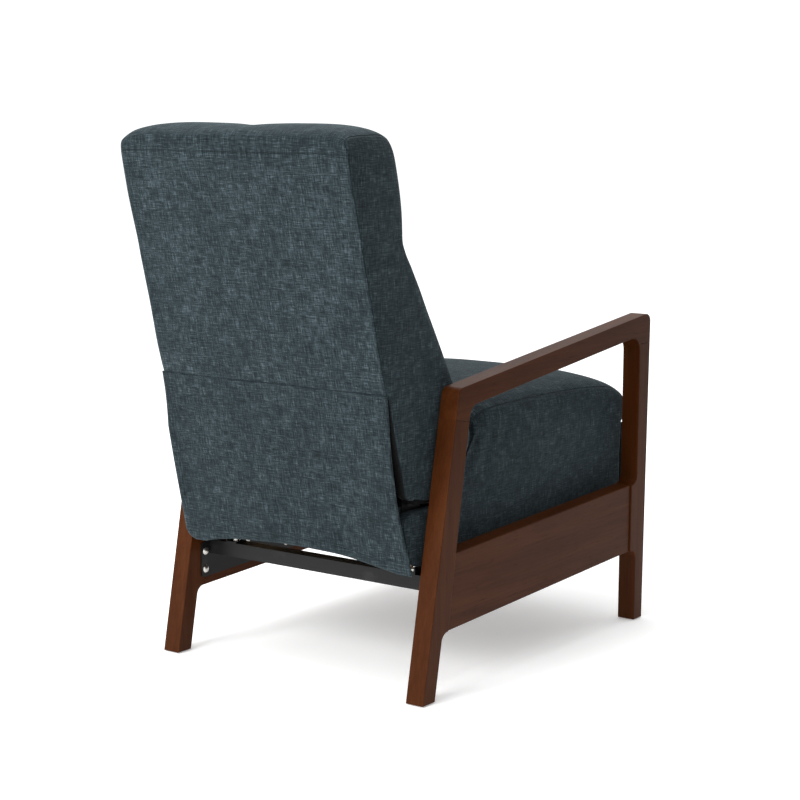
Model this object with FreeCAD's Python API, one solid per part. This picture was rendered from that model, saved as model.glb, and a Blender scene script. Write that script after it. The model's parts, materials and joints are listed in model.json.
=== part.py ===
"""Push-back recliner armchair: wooden side frames, steel linkage, upholstered seat and back.

Units are millimetres.  +Z is up, the chair faces -Y and the sitter's right hand is at -X.
Everything is laid out from the heel, the lowest rear edge of the rear legs, where y is 0.
At the end the whole chair is moved along Y, so that the origin is the middle of its footprint.
"""
import FreeCAD, Part
import os
from math import atan2, cos, degrees, pi, radians, sin, tan

V = FreeCAD.Vector

# ---------------------------------------------------------------- wooden side frames
overall_width = 612.0        # across the outer faces of the side frames
frame_length = 728.0         # heel of the rear leg to the rear edge of the front foot
leg_thickness = 38.0         # of legs and armrests, across the chair
rear_lean = 0.197            # forward travel of the rear leg's back edge per mm of height
rear_taper = 0.1706          # the same for the front edge of the rear leg, above the apron
rear_foot = 36.0             # length of the rear foot on the floor
rear_root = 56.0             # where the front edge of the rear leg would meet the floor
front_foot = 30.5            # length of the front foot on the floor
front_lean = 0.0254          # forward travel of the front leg's front edge per mm of height
front_inner_lean = 0.0083    # the same for its rear edge
arm_root = 535.0             # height of the armrest's top line above the heel
arm_slope = 0.1131           # rise of the armrest per mm towards the front
arm_depth = 38.5             # vertical depth of the armrest
rear_joint_height = 494.0    # where the armrest's rear end sits on the rear leg
front_joint_height = 563.5   # where its front end sits on the front leg
apron_root = 117.0           # height of the apron's lower edge above the heel
apron_slope = 0.0415         # rise of the apron per mm towards the front
apron_depth = 135.0          # height of the apron
apron_recess = 3.0           # of the apron's outer face behind the legs' outer faces
apron_thickness = leg_thickness - apron_recess    # its inner face is flush with the legs'
apron_tongue = 21.0          # how far the front leg's haunch reaches back to meet the apron
arm_corner_radius = 15.0
window_radius = 27.0         # inner corners below the armrest
haunch_radius = 18.0         # where the apron's edges run into the legs
wood_edge_radius = 1.6
dowel_radius = 5.0
dowel_length = 40.0
glide_radius = 9.0
glide_height = 2.0

# ---------------------------------------------------------------- upholstered seat
seat_side_gap = 16.0         # between the seat's side and the side frame
seat_front = 757.0           # front face of the seat ahead of the heel
seat_rear = 38.0             # rear end of the seat ahead of the heel
seat_bottom = 232.0
deck_height = 326.0          # top of the seat's wooden rails
seat_rail_thickness = 20.0
seat_rail_drop = 90.0        # height of the side rails
cross_rail_height = 50.0     # height of the front and rear rails
rear_rail_ahead = 180.0      # rear rail's rear face ahead of the heel
cover_thickness = 3.0
spring_count = 5
spring_wire = 1.8            # radius of the sinuous spring's wire
spring_pitch = 24.0
spring_swing = 20.0          # half width of a sinuous spring
crown_height = 512.0         # top of the seat cushion
cushion_gap = 2.0            # between the seat cushion and the back cushion

# ---------------------------------------------------------------- upholstered back
back_side_gap = 9.0          # between the back's side and the side frame
back_root = -75.5            # where the rear panel's plane would meet the floor, from the heel
back_slope = 0.2115          # rearward travel of the rear panel per mm of height
back_frame_depth = 64.0      # rear panel to the front plane of the wooden back frame
back_top = 1003.0            # top of the upholstered back
back_frame_top = 950.0
back_post_thickness = 22.0
back_skin = 4.0              # padded fabric on the back frame's sides, rear and top
flap_seam = 545.0            # height of the seam that the rear flap hangs from
flap_bottom = 222.0
flap_arch = 22.0             # rise of the flap's hem at its middle
flap_thickness = 3.0
flap_overhang = 5.6          # how much wider than the back's side the flap is
notch_height = 799.0         # between the head pillow and the lumbar cushion
rail_board = 20.0            # thickness of the back frame's boards
web_width = 50.0
web_thickness = 2.0
web_count = 5

# ---------------------------------------------------------------- steel linkage
plate = 2.5                  # thickness of every link and side plate
layer_gap = 0.5              # between neighbouring layers of links
pin_radius = 4.0
pin_clearance = 0.06         # radial, where a link turns on its pin
pin_head_radius = 7.0
pin_head = 1.4               # height of a pin's head
link_half_width = 10.0
hinge_back = 62.0            # the back's hinge, ahead of the heel
hinge_height = 352.0
swing_length = 100.0         # between the pivots of a swing link
swing_lean_deg = 35.0        # the swing links lean back by this at rest
rear_swing_ahead = 150.0     # lower pivot of the rear swing link, ahead of the heel
front_swing_ahead = 330.0
swing_base_height = 205.0
control_base = (119.3, 262.0)    # lower pivot of the back's control link: ahead of heel, height
control_lever = 33.0         # the control link's pin on the back bracket above the back's hinge
control_slot = 6.0           # lost travel in the control link's upper slot
foot_pivot_behind = 147.0    # rear footrest link's pivot behind the seat's front face
foot_pivot_below = 11.0      # the same pivot below the top of the rails
foot_link = 193.0            # from that pivot to the crossing with the outer link
foot_link_tail = 52.0        # from the crossing on to the inner link
foot_link_deg = 135.0        # direction of the footrest's rear links at rest
foot_reach = (251.0, 76.0)   # outer link, crossing to footrest pivot: forward, up
foot_spread = 62.0           # from the rear link's pivot to the front link's pivot
tube_radius = 9.0
tube_wall = 1.5
tube_along = 60.0            # the cross tube's place along the rear links
bar_height = 27.0            # of the angle-iron cross bars
bar_flange = 30.0
bar_wall = 3.0
bar_bottom = 181.0
rear_bar_ahead = 90.0        # rear face of the rear cross bar, ahead of the heel
front_bar_ahead = 345.0
side_plate_start = 67.0
side_plate_end = 400.0
bolt_radius = 4.0
bolt_head_radius = 7.5
bolt_head = 4.5
bolt_depth = 22.0            # of the bolts' holes in the aprons

# ---------------------------------------------------------------- footrest
footrest_gap = 3.0           # between the seat's front face and the footrest's board
board_thickness = 12.0
board_bottom = 225.0
board_height = 165.0
pad_thickness = 26.0
pad_overlap = 7.0            # of the pad beyond the board, all round
footrest_side_gap = 18.0     # between the footrest pad's end and the side frame

# ---------------------------------------------------------------- places that follow
half_width = overall_width / 2
frame_inner = half_width - leg_thickness
seat_half = frame_inner - seat_side_gap
seat_rail_outer = seat_half - cover_thickness
seat_rail_inner = seat_rail_outer - seat_rail_thickness
back_half = frame_inner - back_side_gap
post_outer = back_half - back_skin
post_inner = post_outer - back_post_thickness
apron_outer = half_width - apron_recess
apron_inner = apron_outer - apron_thickness
seat_plate_x = seat_rail_inner - plate                 # inner face of the seat plates
layer_one = seat_plate_x - layer_gap - plate           # links next to the seat plates
layer_two = layer_one - layer_gap - plate              # base rails, outer and inner links
layer_three = layer_two - layer_gap - plate            # the back's control links
bracket_x = post_inner - plate

hinge = (-hinge_back, hinge_height)
lean = radians(swing_lean_deg)
swing_step = (swing_length * sin(lean), swing_length * cos(lean))
rear_swing = (-rear_swing_ahead, swing_base_height)
front_swing = (-front_swing_ahead, swing_base_height)
rear_swing_top = (rear_swing[0] + swing_step[0], rear_swing[1] + swing_step[1])
front_swing_top = (front_swing[0] + swing_step[0], front_swing[1] + swing_step[1])
control_foot = (-control_base[0], control_base[1])
control_pin = (hinge[0] - 1.0, hinge[1] + control_lever)

foot_direction = (-cos(radians(foot_link_deg)), -sin(radians(foot_link_deg)))
reach_length = (foot_reach[0] ** 2 + foot_reach[1] ** 2) ** 0.5
reach_direction = (-foot_reach[0] / reach_length, foot_reach[1] / reach_length)


def along(start, direction, distance):
    """The point at a distance from start."""
    return (start[0] + direction[0] * distance, start[1] + direction[1] * distance)


foot_pivot = (-seat_front + foot_pivot_behind, deck_height - foot_pivot_below)
front_pivot = along(foot_pivot, reach_direction, -foot_spread)
crossing = along(foot_pivot, foot_direction, foot_link)
link_end = along(crossing, foot_direction, foot_link_tail)
outer_start = along(crossing, reach_direction, -foot_spread)
footrest_pin = along(crossing, reach_direction, reach_length)
footrest_lower_pin = along(footrest_pin, foot_direction, foot_link_tail)
tube_centre = along(foot_pivot, foot_direction, tube_along)

nodes = {}


# ---------------------------------------------------------------- shape helpers
def point(x, yz):
    return V(x, yz[0], yz[1])


def distance(a, b):
    return ((b[0] - a[0]) ** 2 + (b[1] - a[1]) ** 2) ** 0.5


def unit(a, b):
    """Direction and distance from a to b."""
    length = distance(a, b)
    return ((b[0] - a[0]) / length, (b[1] - a[1]) / length), length


def outline(corners, x):
    """Closed wire in the plane X = x: corners are (y, z) or (y, z, radius of rounding)."""
    starts = []
    ends = []
    middles = []
    for i, corner in enumerate(corners):
        here = corner[:2]
        radius = corner[2] if len(corner) > 2 else 0.0
        if radius == 0.0:
            starts.append(here)
            ends.append(here)
            middles.append(None)
            continue
        back, _ = unit(here, corners[i - 1][:2])
        ahead, _ = unit(here, corners[(i + 1) % len(corners)][:2])
        half = 0.5 * abs(atan2(back[0] * ahead[1] - back[1] * ahead[0],
                               back[0] * ahead[0] + back[1] * ahead[1]))
        inward, _ = unit((0, 0), (back[0] + ahead[0], back[1] + ahead[1]))
        centre = along(here, inward, radius / sin(half))
        starts.append(along(here, back, radius / tan(half)))
        ends.append(along(here, ahead, radius / tan(half)))
        middles.append(along(centre, inward, -radius))
    edges = []
    for i in range(len(corners)):
        if middles[i] is not None:
            arc = Part.Arc(point(x, starts[i]), point(x, middles[i]), point(x, ends[i]))
            edges.append(arc.toShape())
        following = starts[(i + 1) % len(corners)]
        if distance(ends[i], following) > 0.001:
            edges.append(Part.makeLine(point(x, ends[i]), point(x, following)))
    return Part.Wire(edges)


def slab(corners, low, high):
    """Plate or panel with the given outline between X = low and X = high."""
    face = Part.Face(outline(corners, low))
    return face.extrude(V(high - low, 0, 0))


def mirrored(shape):
    return shape.mirror(V(0, 0, 0), V(1, 0, 0))


def both(shape):
    """The shape and its mirror image, as separate solids."""
    return Part.makeCompound(shape.Solids + mirrored(shape).Solids)


def group(shapes):
    return Part.makeCompound([solid for shape in shapes for solid in shape.Solids])


def rod(x_low, x_high, centre, radius):
    """Round bar along X."""
    return Part.makeCylinder(radius, x_high - x_low, point(x_low, centre), V(1, 0, 0))


def box(x, y, z):
    """Block between the given pairs of coordinates."""
    return Part.makeBox(x[1] - x[0], y[1] - y[0], z[1] - z[0], V(x[0], y[0], z[0]))


def link(points, low, high, half_width, holes):
    """Flat link with round ends over a chain of points, and holes as (centre, radius)."""
    shape = None
    for a, b in zip(points, points[1:]):
        d, _ = unit(a, b)
        side = (-d[1] * half_width, d[0] * half_width)
        corners = [(a[0] + side[0], a[1] + side[1]), (a[0] - side[0], a[1] - side[1]),
                   (b[0] - side[0], b[1] - side[1]), (b[0] + side[0], b[1] + side[1])]
        piece = slab(corners, low, high)
        shape = piece if shape is None else shape.fuse(piece)
    for p in points:
        shape = shape.fuse(rod(low, high, p, half_width))
    for centre, radius in holes:
        shape = shape.cut(rod(low - 1, high + 1, centre, radius))
    return shape.removeSplitter()


def headed_pin(centre, low, high, head_low, head_high):
    """Rivet from X = low to X = high, with heads that stand beyond them where asked."""
    shape = rod(low, high, centre, pin_radius)
    if head_low:
        shape = shape.fuse(rod(low - pin_head, low, centre, pin_head_radius))
    if head_high:
        shape = shape.fuse(rod(high, high + pin_head, centre, pin_head_radius))
    return shape.removeSplitter()


def round_long_edges(shape, radius, planes):
    """Round the edges that lie in the given planes of constant X."""
    chosen = []
    for edge in shape.Edges:
        bounds = edge.BoundBox
        for x in planes:
            if abs(bounds.XMin - x) < 0.01 and abs(bounds.XMax - x) < 0.01:
                chosen.append(edge)
    return shape.makeFillet(radius, chosen)


def side_pair(name, shape):
    """Store a piece of the left side frame and its right-hand mirror image."""
    nodes[name + "_left"] = shape
    nodes[name + "_right"] = mirrored(shape)


# ---------------------------------------------------------------- side frames
def rear_edge(z):
    return -rear_lean * z


def rear_front_edge(z):
    return -rear_root - rear_taper * z


def front_rear_edge(z):
    return -frame_length - front_inner_lean * z


def front_edge(z):
    return -frame_length - front_foot - front_lean * z


def apron_low(y):
    return apron_root - apron_slope * y


def apron_high(y):
    return apron_low(y) + apron_depth


def arm_high(y):
    return arm_root - arm_slope * y


def arm_low(y):
    return arm_high(y) - arm_depth


def meet(edge, height, guess):
    """Where a leg's edge, y of z, crosses a rail's edge, z of y."""
    z = guess
    for _ in range(20):
        z = height(edge(z))
    return (edge(z), z)


def leg_front_below(z):
    return -rear_foot - rear_lean * z


def frame_sheet(low, high):
    """The whole side frame in one piece between two X planes, before it is cut into parts."""
    foot = glide_height
    outer = [
        (rear_edge(foot), foot),
        meet(rear_edge, arm_high, arm_root) + (arm_corner_radius,),
        meet(front_edge, arm_high, arm_root) + (arm_corner_radius,),
        (front_edge(foot), foot),
        (front_rear_edge(foot), foot),
        meet(front_rear_edge, apron_low, apron_root) + (haunch_radius,),
        meet(leg_front_below, apron_low, apron_root) + (haunch_radius,),
        (leg_front_below(foot), foot),
    ]
    window = [
        meet(rear_front_edge, arm_low, arm_root) + (window_radius,),
        meet(front_rear_edge, arm_low, arm_root) + (window_radius,),
        meet(front_rear_edge, apron_high, apron_root) + (haunch_radius,),
        meet(rear_front_edge, apron_high, apron_root),
    ]
    return slab(outer, low, high).cut(slab(window, low - 1, high + 1))


far = 2000.0


def above_joints(low, high):
    """Space above the two armrest joints, each square to its leg's rear edge."""
    rear_y = rear_edge(rear_joint_height)
    front_y = front_rear_edge(front_joint_height)
    step = front_y + window_radius
    corners = [
        (rear_y + 100, rear_joint_height + 100 * rear_lean),
        (rear_y, rear_joint_height),
        (rear_y - 100, rear_joint_height - 100 * rear_lean),
        (step, rear_joint_height - 100 * rear_lean),
        (step, front_joint_height),
        (front_y - 200, front_joint_height),
        (front_y - 200, far),
        (rear_y + 100, far),
    ]
    return slab(corners, low, high)


def rear_joint_line():
    """Face between rear leg and apron: the leg's front edge carried on down."""
    return [meet(rear_front_edge, apron_low, apron_root), meet(rear_front_edge, apron_high, apron_root)]


def front_joint_line():
    """Face between front leg and apron, behind the leg's haunches."""
    low = meet(front_rear_edge, apron_low, apron_root)
    high = meet(front_rear_edge, apron_high, apron_root)
    return [(low[0] + apron_tongue, apron_low(low[0] + apron_tongue)),
            (high[0] + apron_tongue, apron_high(high[0] + apron_tongue))]


def extended(line, reach):
    """The line's two end points carried on by reach at both ends."""
    d, _ = unit(line[0], line[1])
    return [along(line[0], d, -reach), along(line[1], d, reach)]


def apron_space(low, high):
    rear = extended(rear_joint_line(), 30.0)
    front = extended(front_joint_line(), 30.0)
    return slab([rear[0], rear[1], front[1], front[0]], low, high)


def rear_leg_space(low, high):
    """Everything behind the apron's rear joint, clear of the front leg."""
    line = extended(rear_joint_line(), far)
    return slab([line[0], line[1], (far, line[1][1]), (far, line[0][1])], low, high)


def dowel(centre, direction):
    """Round dowel through a joint face, in the middle of the apron's or the leg's thickness."""
    start = V(dowel_x, centre[0], centre[1]) - V(0, *direction) * (dowel_length / 2)
    return Part.makeCylinder(dowel_radius, dowel_length, start, V(0, *direction))


dowel_x = (apron_inner + apron_outer) / 2


def dowels():
    """Two dowels at each end of the apron and one under each end of the armrest."""
    found = []
    for line in (rear_joint_line(), front_joint_line()):
        d, length = unit(line[0], line[1])
        for share in (0.3, 0.7):
            found.append(dowel(along(line[0], d, length * share), (1.0, 0.0)))
    rear_middle = (rear_edge(rear_joint_height) + rear_front_edge(rear_joint_height)) / 2
    front_middle = (front_edge(front_joint_height) + front_rear_edge(front_joint_height)) / 2
    rear_up, _ = unit((0, 0), (-rear_lean, 1.0))
    found.append(dowel((rear_middle, rear_joint_height), rear_up))
    found.append(dowel((front_middle, front_joint_height), (0.0, 1.0)))
    return group(found)


def make_side_frames():
    legs = frame_sheet(frame_inner, half_width)
    upper = above_joints(frame_inner - 1, half_width + 1)
    apron_cut = apron_space(frame_inner - 1, half_width + 1)
    behind = rear_leg_space(frame_inner - 1, half_width + 1)
    pegs = dowels()
    bolt_holes = group([rod(apron_inner - 1, apron_inner + bolt_depth, centre, bolt_radius)
                        for centre in apron_bolts()])
    armrest = legs.common(upper)
    posts = legs.cut(upper).cut(apron_cut)
    rear_leg = posts.common(behind)
    front_leg = posts.cut(behind)
    apron = frame_sheet(apron_inner, apron_outer).common(apron_space(apron_inner, apron_outer))
    faces = (frame_inner, half_width)
    side_pair("armrest", round_long_edges(armrest, wood_edge_radius, faces).cut(pegs))
    rear_leg = round_long_edges(rear_leg, wood_edge_radius, faces)
    side_pair("rear_leg", rear_leg.cut(pegs).cut(bolt_holes))
    side_pair("front_leg", round_long_edges(front_leg, wood_edge_radius, faces).cut(pegs))
    apron = round_long_edges(apron, wood_edge_radius, (apron_inner, apron_outer))
    side_pair("apron", apron.cut(pegs).cut(bolt_holes))
    nodes["frame_dowels"] = both(pegs)
    middle_x = (frame_inner + half_width) / 2
    glides = []
    for y in (-rear_foot / 2, -frame_length - front_foot / 2):
        glides.append(Part.makeCylinder(glide_radius, glide_height, V(middle_x, y, 0)))
    nodes["foot_glides"] = both(group(glides))


# ---------------------------------------------------------------- base: plates, bars, rails
side_plate_inner = apron_inner - plate


def apron_bolts():
    """Places of the bolts that hold a side plate to its apron."""
    rear_column = -side_plate_start - 12.0
    front_column = -side_plate_end + 14.0
    middle_column = -front_bar_ahead + 25.0
    found = []
    for y in (rear_column, middle_column, front_column):
        found.append((y, apron_low(y) + 31.0))
        found.append((y, apron_low(y) + 66.0))
    return found


def bar_bolts():
    """Places where the cross bars' end flanges are bolted to the side plates."""
    return [(-ahead - bar_flange + 8.0, bar_bottom + bar_height / 2)
            for ahead in (rear_bar_ahead, front_bar_ahead)]


def dome_bolt(centre, x_face, inward, length):
    """Bolt along X with a low domed head on the face at x_face, its shank going outwards."""
    shank = rod(x_face, x_face + length, centre, bolt_radius)
    head_radius = bolt_head_radius
    sphere_radius = (head_radius ** 2 + bolt_head ** 2) / (2 * bolt_head)
    ball = Part.makeSphere(sphere_radius, point(x_face - bolt_head + sphere_radius, centre))
    head = ball.common(rod(x_face - inward, x_face, centre, head_radius))
    return shank.fuse(head).removeSplitter()


def side_plate():
    rear = -side_plate_start
    front = -side_plate_end
    corners = [
        (rear, apron_low(rear) + 16.0, 8.0),
        (rear, apron_low(rear) + 84.0, 8.0),
        (front, apron_low(front) + 84.0, 8.0),
        (front, apron_low(front) + 16.0, 8.0),
    ]
    shape = slab(corners, side_plate_inner, apron_inner)
    for centre in apron_bolts() + bar_bolts():
        shape = shape.cut(rod(side_plate_inner - 1, apron_inner + 1, centre, bolt_radius))
    return shape


def cross_bar(ahead):
    """Angle iron between the side plates with a bolting flange turned forward at each end."""
    rear = -ahead
    x = side_plate_inner
    top = bar_bottom + bar_height
    upright = box((-x, x), (rear - bar_wall, rear), (bar_bottom, top))
    shelf = box((-x, x), (rear - bar_flange, rear), (top - bar_wall, top))
    shape = upright.fuse(shelf)
    corners = [(rear, bar_bottom), (rear, top), (rear - bar_flange, top),
               (rear - bar_flange, bar_bottom, 8.0)]
    flange = slab(corners, x - bar_wall, x)
    shape = shape.fuse(flange).fuse(mirrored(flange))
    for centre in bar_bolts():
        shape = shape.cut(rod(x - bar_wall - 1, x + 1, centre, bolt_radius))
        shape = shape.cut(rod(-x - 1, -x + bar_wall + 1, centre, bolt_radius))
    for x_hole in (-rail_bolt_x, rail_bolt_x):
        y_hole = rear - bar_flange / 2
        shape = shape.cut(Part.makeCylinder(bolt_radius, 20.0, V(x_hole, y_hole, top - 10.0)))
    return shape.removeSplitter()


rail_bolt_x = layer_two - 11.0


def base_rail():
    """Upright plate that stands on both cross bars and carries the swing and control links."""
    bottom = bar_bottom + bar_height
    rear = -rear_bar_ahead
    front = -front_bar_ahead - bar_flange
    web_low = swing_base_height - 17.0
    corners = [
        (rear, bottom), (rear, bottom + 14.0, 5.0),
        (control_foot[0] + 30.0, bottom + 14.0, 8.0),
        (control_foot[0] + 13.0, control_foot[1] + 13.0, 12.0),
        (control_foot[0] - 13.0, control_foot[1] + 13.0, 12.0),
        (control_foot[0] - 30.0, bottom + 14.0, 8.0),
        (front, bottom + 14.0, 5.0), (front, bottom),
        (-front_bar_ahead + 1.0, bottom), (-front_bar_ahead + 1.0, web_low, 6.0),
        (-rear_bar_ahead - bar_flange - 1.0, web_low, 6.0),
        (-rear_bar_ahead - bar_flange - 1.0, bottom),
    ]
    shape = slab(corners, layer_two, layer_two + plate)
    for centre in (rear_swing, front_swing, control_foot):
        shape = shape.cut(rod(layer_two - 1, layer_two + plate + 1, centre, pin_radius))
    for ahead in (rear_bar_ahead, front_bar_ahead):
        foot = box((layer_two - 22.0, layer_two), (-ahead - bar_flange, -ahead),
                   (bottom, bottom + plate))
        shape = shape.fuse(foot)
        shape = shape.cut(Part.makeCylinder(bolt_radius, 20.0,
                                            V(rail_bolt_x, -ahead - bar_flange / 2, bottom - 5.0)))
    return shape.removeSplitter()


def rail_bolt(ahead):
    """Bolt down through a base rail's foot and the cross bar's shelf."""
    z = bar_bottom + bar_height + plate
    y = -ahead - bar_flange / 2
    head = Part.makeCylinder(bolt_head_radius, bolt_head, V(rail_bolt_x, y, z))
    length = plate + bar_wall + 9.0
    shank = Part.makeCylinder(bolt_radius, length, V(rail_bolt_x, y, z - length))
    nut = Part.makeCylinder(bolt_head_radius, bolt_head,
                            V(rail_bolt_x, y, z - plate - bar_wall - bolt_head))
    return head.fuse(shank).fuse(nut).removeSplitter()


def make_base():
    side_pair("side_plate", side_plate())
    nodes["rear_cross_bar"] = cross_bar(rear_bar_ahead)
    nodes["front_cross_bar"] = cross_bar(front_bar_ahead)
    nodes["base_rails"] = both(base_rail())
    bolts = [dome_bolt(c, side_plate_inner, bolt_head, plate + bolt_depth - 2) for c in apron_bolts()]
    nodes["side_plate_bolts"] = both(group(bolts))
    flange_face = side_plate_inner - bar_wall
    bolts = [dome_bolt(c, flange_face, bolt_head, bar_wall + plate) for c in bar_bolts()]
    bolts += [rail_bolt(rear_bar_ahead), rail_bolt(front_bar_ahead)]
    nodes["cross_bar_bolts"] = both(group(bolts))
    outer_face = layer_one + plate
    pins = [headed_pin(c, layer_two, outer_face, True, False) for c in (rear_swing, front_swing)]
    control_pivot = headed_pin(control_foot, layer_three - layer_gap, layer_two + plate, True, False)
    nodes["base_pivot_pins"] = both(group(pins + [control_pivot]))


# ---------------------------------------------------------------- links below the seat
def make_swing_links():
    running = pin_radius + pin_clearance
    for name, foot, top in (("rear_swing_links", rear_swing, rear_swing_top),
                            ("front_swing_links", front_swing, front_swing_top)):
        holes = [(foot, running), (top, running)]
        nodes[name] = both(link([foot, top], layer_one, layer_one + plate, link_half_width, holes))


def make_control_links():
    """Links from the base rails to the back brackets, slotted where they hold the back's pin."""
    d, length = unit(control_foot, control_pin)
    slot_start = along(control_foot, d, length - 0.8)
    slot_end = along(control_foot, d, length + control_slot)
    tip = along(control_foot, d, length + control_slot / 2)
    holes = [(control_foot, pin_radius + pin_clearance)]
    shape = link([control_foot, tip], layer_three, layer_three + plate, link_half_width + 2, holes)
    slot = link([slot_start, slot_end], layer_three - 1, layer_three + plate + 1, pin_radius + 0.5, [])
    nodes["back_control_links"] = both(shape.cut(slot))


def make_footrest_links():
    tight = pin_radius
    running = pin_radius + pin_clearance
    first = (layer_one, layer_one + plate)
    second = (layer_two, layer_two + plate)
    width = link_half_width
    holes = [(foot_pivot, running), (crossing, tight), (link_end, tight)]
    nodes["footrest_rear_links"] = both(link([foot_pivot, link_end], *first, width, holes))
    holes = [(front_pivot, running), (outer_start, running)]
    nodes["footrest_front_links"] = both(link([front_pivot, outer_start], *first, width, holes))
    holes = [(outer_start, tight), (crossing, running), (footrest_pin, running)]
    nodes["footrest_outer_links"] = both(link([outer_start, footrest_pin], *second, width, holes))
    holes = [(link_end, running), (footrest_lower_pin, running)]
    nodes["footrest_inner_links"] = both(link([link_end, footrest_lower_pin], *second, width, holes))
    pins = [headed_pin(c, second[0] - layer_gap, first[1], True, False) for c in (crossing, link_end)]
    nodes["rear_link_pins"] = both(group(pins))
    pin = headed_pin(outer_start, second[0], first[1] + 0.2, True, False)
    nodes["outer_link_pins"] = both(pin)
    tube = rod(-layer_one, layer_one, tube_centre, tube_radius)
    nodes["footrest_cross_tube"] = tube.cut(
        rod(-layer_one, layer_one, tube_centre, tube_radius - tube_wall))


# ---------------------------------------------------------------- seat
def seat_plate_screw_places():
    return [(-y, deck_height - 21.0) for y in (160.0, 240.0, 400.0, 480.0)]


def seat_plate():
    """Strip on the inside of the seat's side rail, with an ear for the back's hinge."""
    low = deck_height - cross_rail_height
    front = foot_pivot[0] - 30.0
    rear = -seat_rear - 2.0
    ear = 15.0
    corners = [
        (rear, low, 6.0), (rear, deck_height - 6.0, 4.0),
        (hinge[0] + ear, hinge[1] + ear, 14.0), (hinge[0] - ear, hinge[1] + ear, 14.0),
        (hinge[0] - 40.0, deck_height, 8.0), (front, deck_height, 8.0), (front, low, 8.0),
    ]
    shape = slab(corners, seat_plate_x, seat_rail_inner)
    for centre in (hinge, rear_swing_top, front_swing_top, foot_pivot, front_pivot):
        shape = shape.cut(rod(seat_plate_x - 1, seat_rail_inner + 1, centre, pin_radius))
    for centre in seat_plate_screw_places():
        shape = shape.cut(rod(seat_plate_x - 1, seat_rail_inner + 1, centre, 2.5))
    return shape


def seat_side_rail():
    shape = box((seat_rail_inner, seat_rail_outer), (-seat_front + cover_thickness, -seat_rear - 2.0),
                (deck_height - seat_rail_drop, deck_height))
    for centre in (rear_swing_top, front_swing_top, foot_pivot, front_pivot):
        shape = shape.cut(rod(seat_rail_inner - 1, seat_rail_inner + 3, centre, pin_head_radius + 1))
    for centre in seat_plate_screw_places():
        shape = shape.cut(rod(seat_rail_inner - 1, seat_rail_inner + 15, centre, 2.5))
    return shape


def sinuous_wire(y_start, y_end, x, z):
    """Centre line of a sinuous spring: straight cross runs joined by half circles."""
    radius = spring_pitch / 4
    turns = int((y_end - y_start) / (2 * radius))
    edges = []
    y = y_start
    side = 1
    reach = spring_swing - radius
    for i in range(turns):
        near = V(x - side * reach, y, z)
        turn = V(x + side * reach, y, z)
        edges.append(Part.makeLine(near, turn))
        if i < turns - 1:
            top = V(x + side * (reach + radius), y + radius, z)
            after = V(x + side * reach, y + 2 * radius, z)
            edges.append(Part.Arc(turn, top, after).toShape())
        y += 2 * radius
        side = -side
    return Part.Wire(edges)


def sinuous_spring(y_start, y_end, x, z):
    path = sinuous_wire(y_start, y_end, x, z)
    start = path.Edges[0].Vertexes[0].Point
    ahead = path.Edges[0].tangentAt(path.Edges[0].FirstParameter)
    circle = Part.Wire(Part.makeCircle(spring_wire, start, ahead))
    return path.makePipeShell([circle], True, False)


def cushion_front_line():
    """Lower front edge of the back cushion: bottom corner and foremost corner."""
    return [(-148.0, hinge_height - 7.0), (-243.0, 452.0)]


def seat_cushion():
    bottom = deck_height + 2 * spring_wire + 0.6
    (rear_y, rear_z), (fore_y, fore_z) = cushion_front_line()
    front = -seat_front
    corners = [
        (front, bottom, 6.0),
        (rear_y - 1.0 + (rear_z - bottom) * 0.9 - cushion_gap, bottom),
        (fore_y - 1.5 * cushion_gap, fore_z),
        (fore_y - 24.0, crown_height - 12.0, 20.0),
        (front + 210.0, crown_height, 250.0),
        (front + 50.0, crown_height - 40.0, 60.0),
        (front - 24.0, crown_height - 52.0, 30.0),
        (front - 24.0, footrest_top() + 6.0, 8.0),
        (front, footrest_top() + 6.0),
    ]
    return slab(corners, -seat_half, seat_half)


def footrest_top():
    return board_bottom + board_height + pad_overlap


def seat_cover():
    """Fabric on the outside of the rails: two sides, rear ends and the front."""
    sides = box((seat_rail_outer, seat_half), (-seat_front, -seat_rear - 2.0), (seat_bottom, deck_height))
    ends = box((seat_rail_inner, seat_half), (-seat_rear - 2.0, -seat_rear), (seat_bottom, deck_height))
    front = box((-seat_rail_outer, seat_rail_outer), (-seat_front, -seat_front + cover_thickness),
                (deck_height - cross_rail_height, deck_height))
    return group([both(sides), both(ends), front])


def make_seat():
    nodes["seat_plates"] = both(seat_plate())
    side_pair("seat_side_rail", seat_side_rail())
    low = deck_height - cross_rail_height
    front = -seat_front + cover_thickness
    half = seat_plate_x
    nodes["seat_front_rail"] = box((-half, half), (front, front + seat_rail_thickness), (low, deck_height))
    nodes["seat_rear_rail"] = box((-half, half), (-rear_rail_ahead - seat_rail_thickness, -rear_rail_ahead),
                                  (low, deck_height))
    step = 2 * (seat_rail_inner - 2 * spring_swing) / spring_count
    z = deck_height + spring_wire
    nodes["seat_springs"] = group([
        sinuous_spring(front + 6.0, -rear_rail_ahead - 4.0, (i - (spring_count - 1) / 2) * step, z)
        for i in range(spring_count)])
    nodes["seat_cushion"] = seat_cushion()
    nodes["seat_cover"] = seat_cover()
    screws = []
    for centre in seat_plate_screw_places():
        screw = rod(seat_plate_x, seat_rail_inner + 14.0, centre, 2.5)
        screws.append(screw.fuse(rod(seat_plate_x - 1.4, seat_plate_x, centre, 5.0)).removeSplitter())
    nodes["seat_plate_screws"] = both(group(screws))
    pins = [headed_pin(c, layer_one - 0.3, seat_rail_inner, True, True)
            for c in (rear_swing_top, front_swing_top, foot_pivot, front_pivot)]
    hinge_pin = headed_pin(hinge, seat_plate_x, bracket_x + plate, True, False)
    nodes["seat_plate_pins"] = both(group(pins + [hinge_pin]))


# ---------------------------------------------------------------- back
def back_plane(z):
    """Y of the rear panel's outer face."""
    return back_root + back_slope * z


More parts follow.
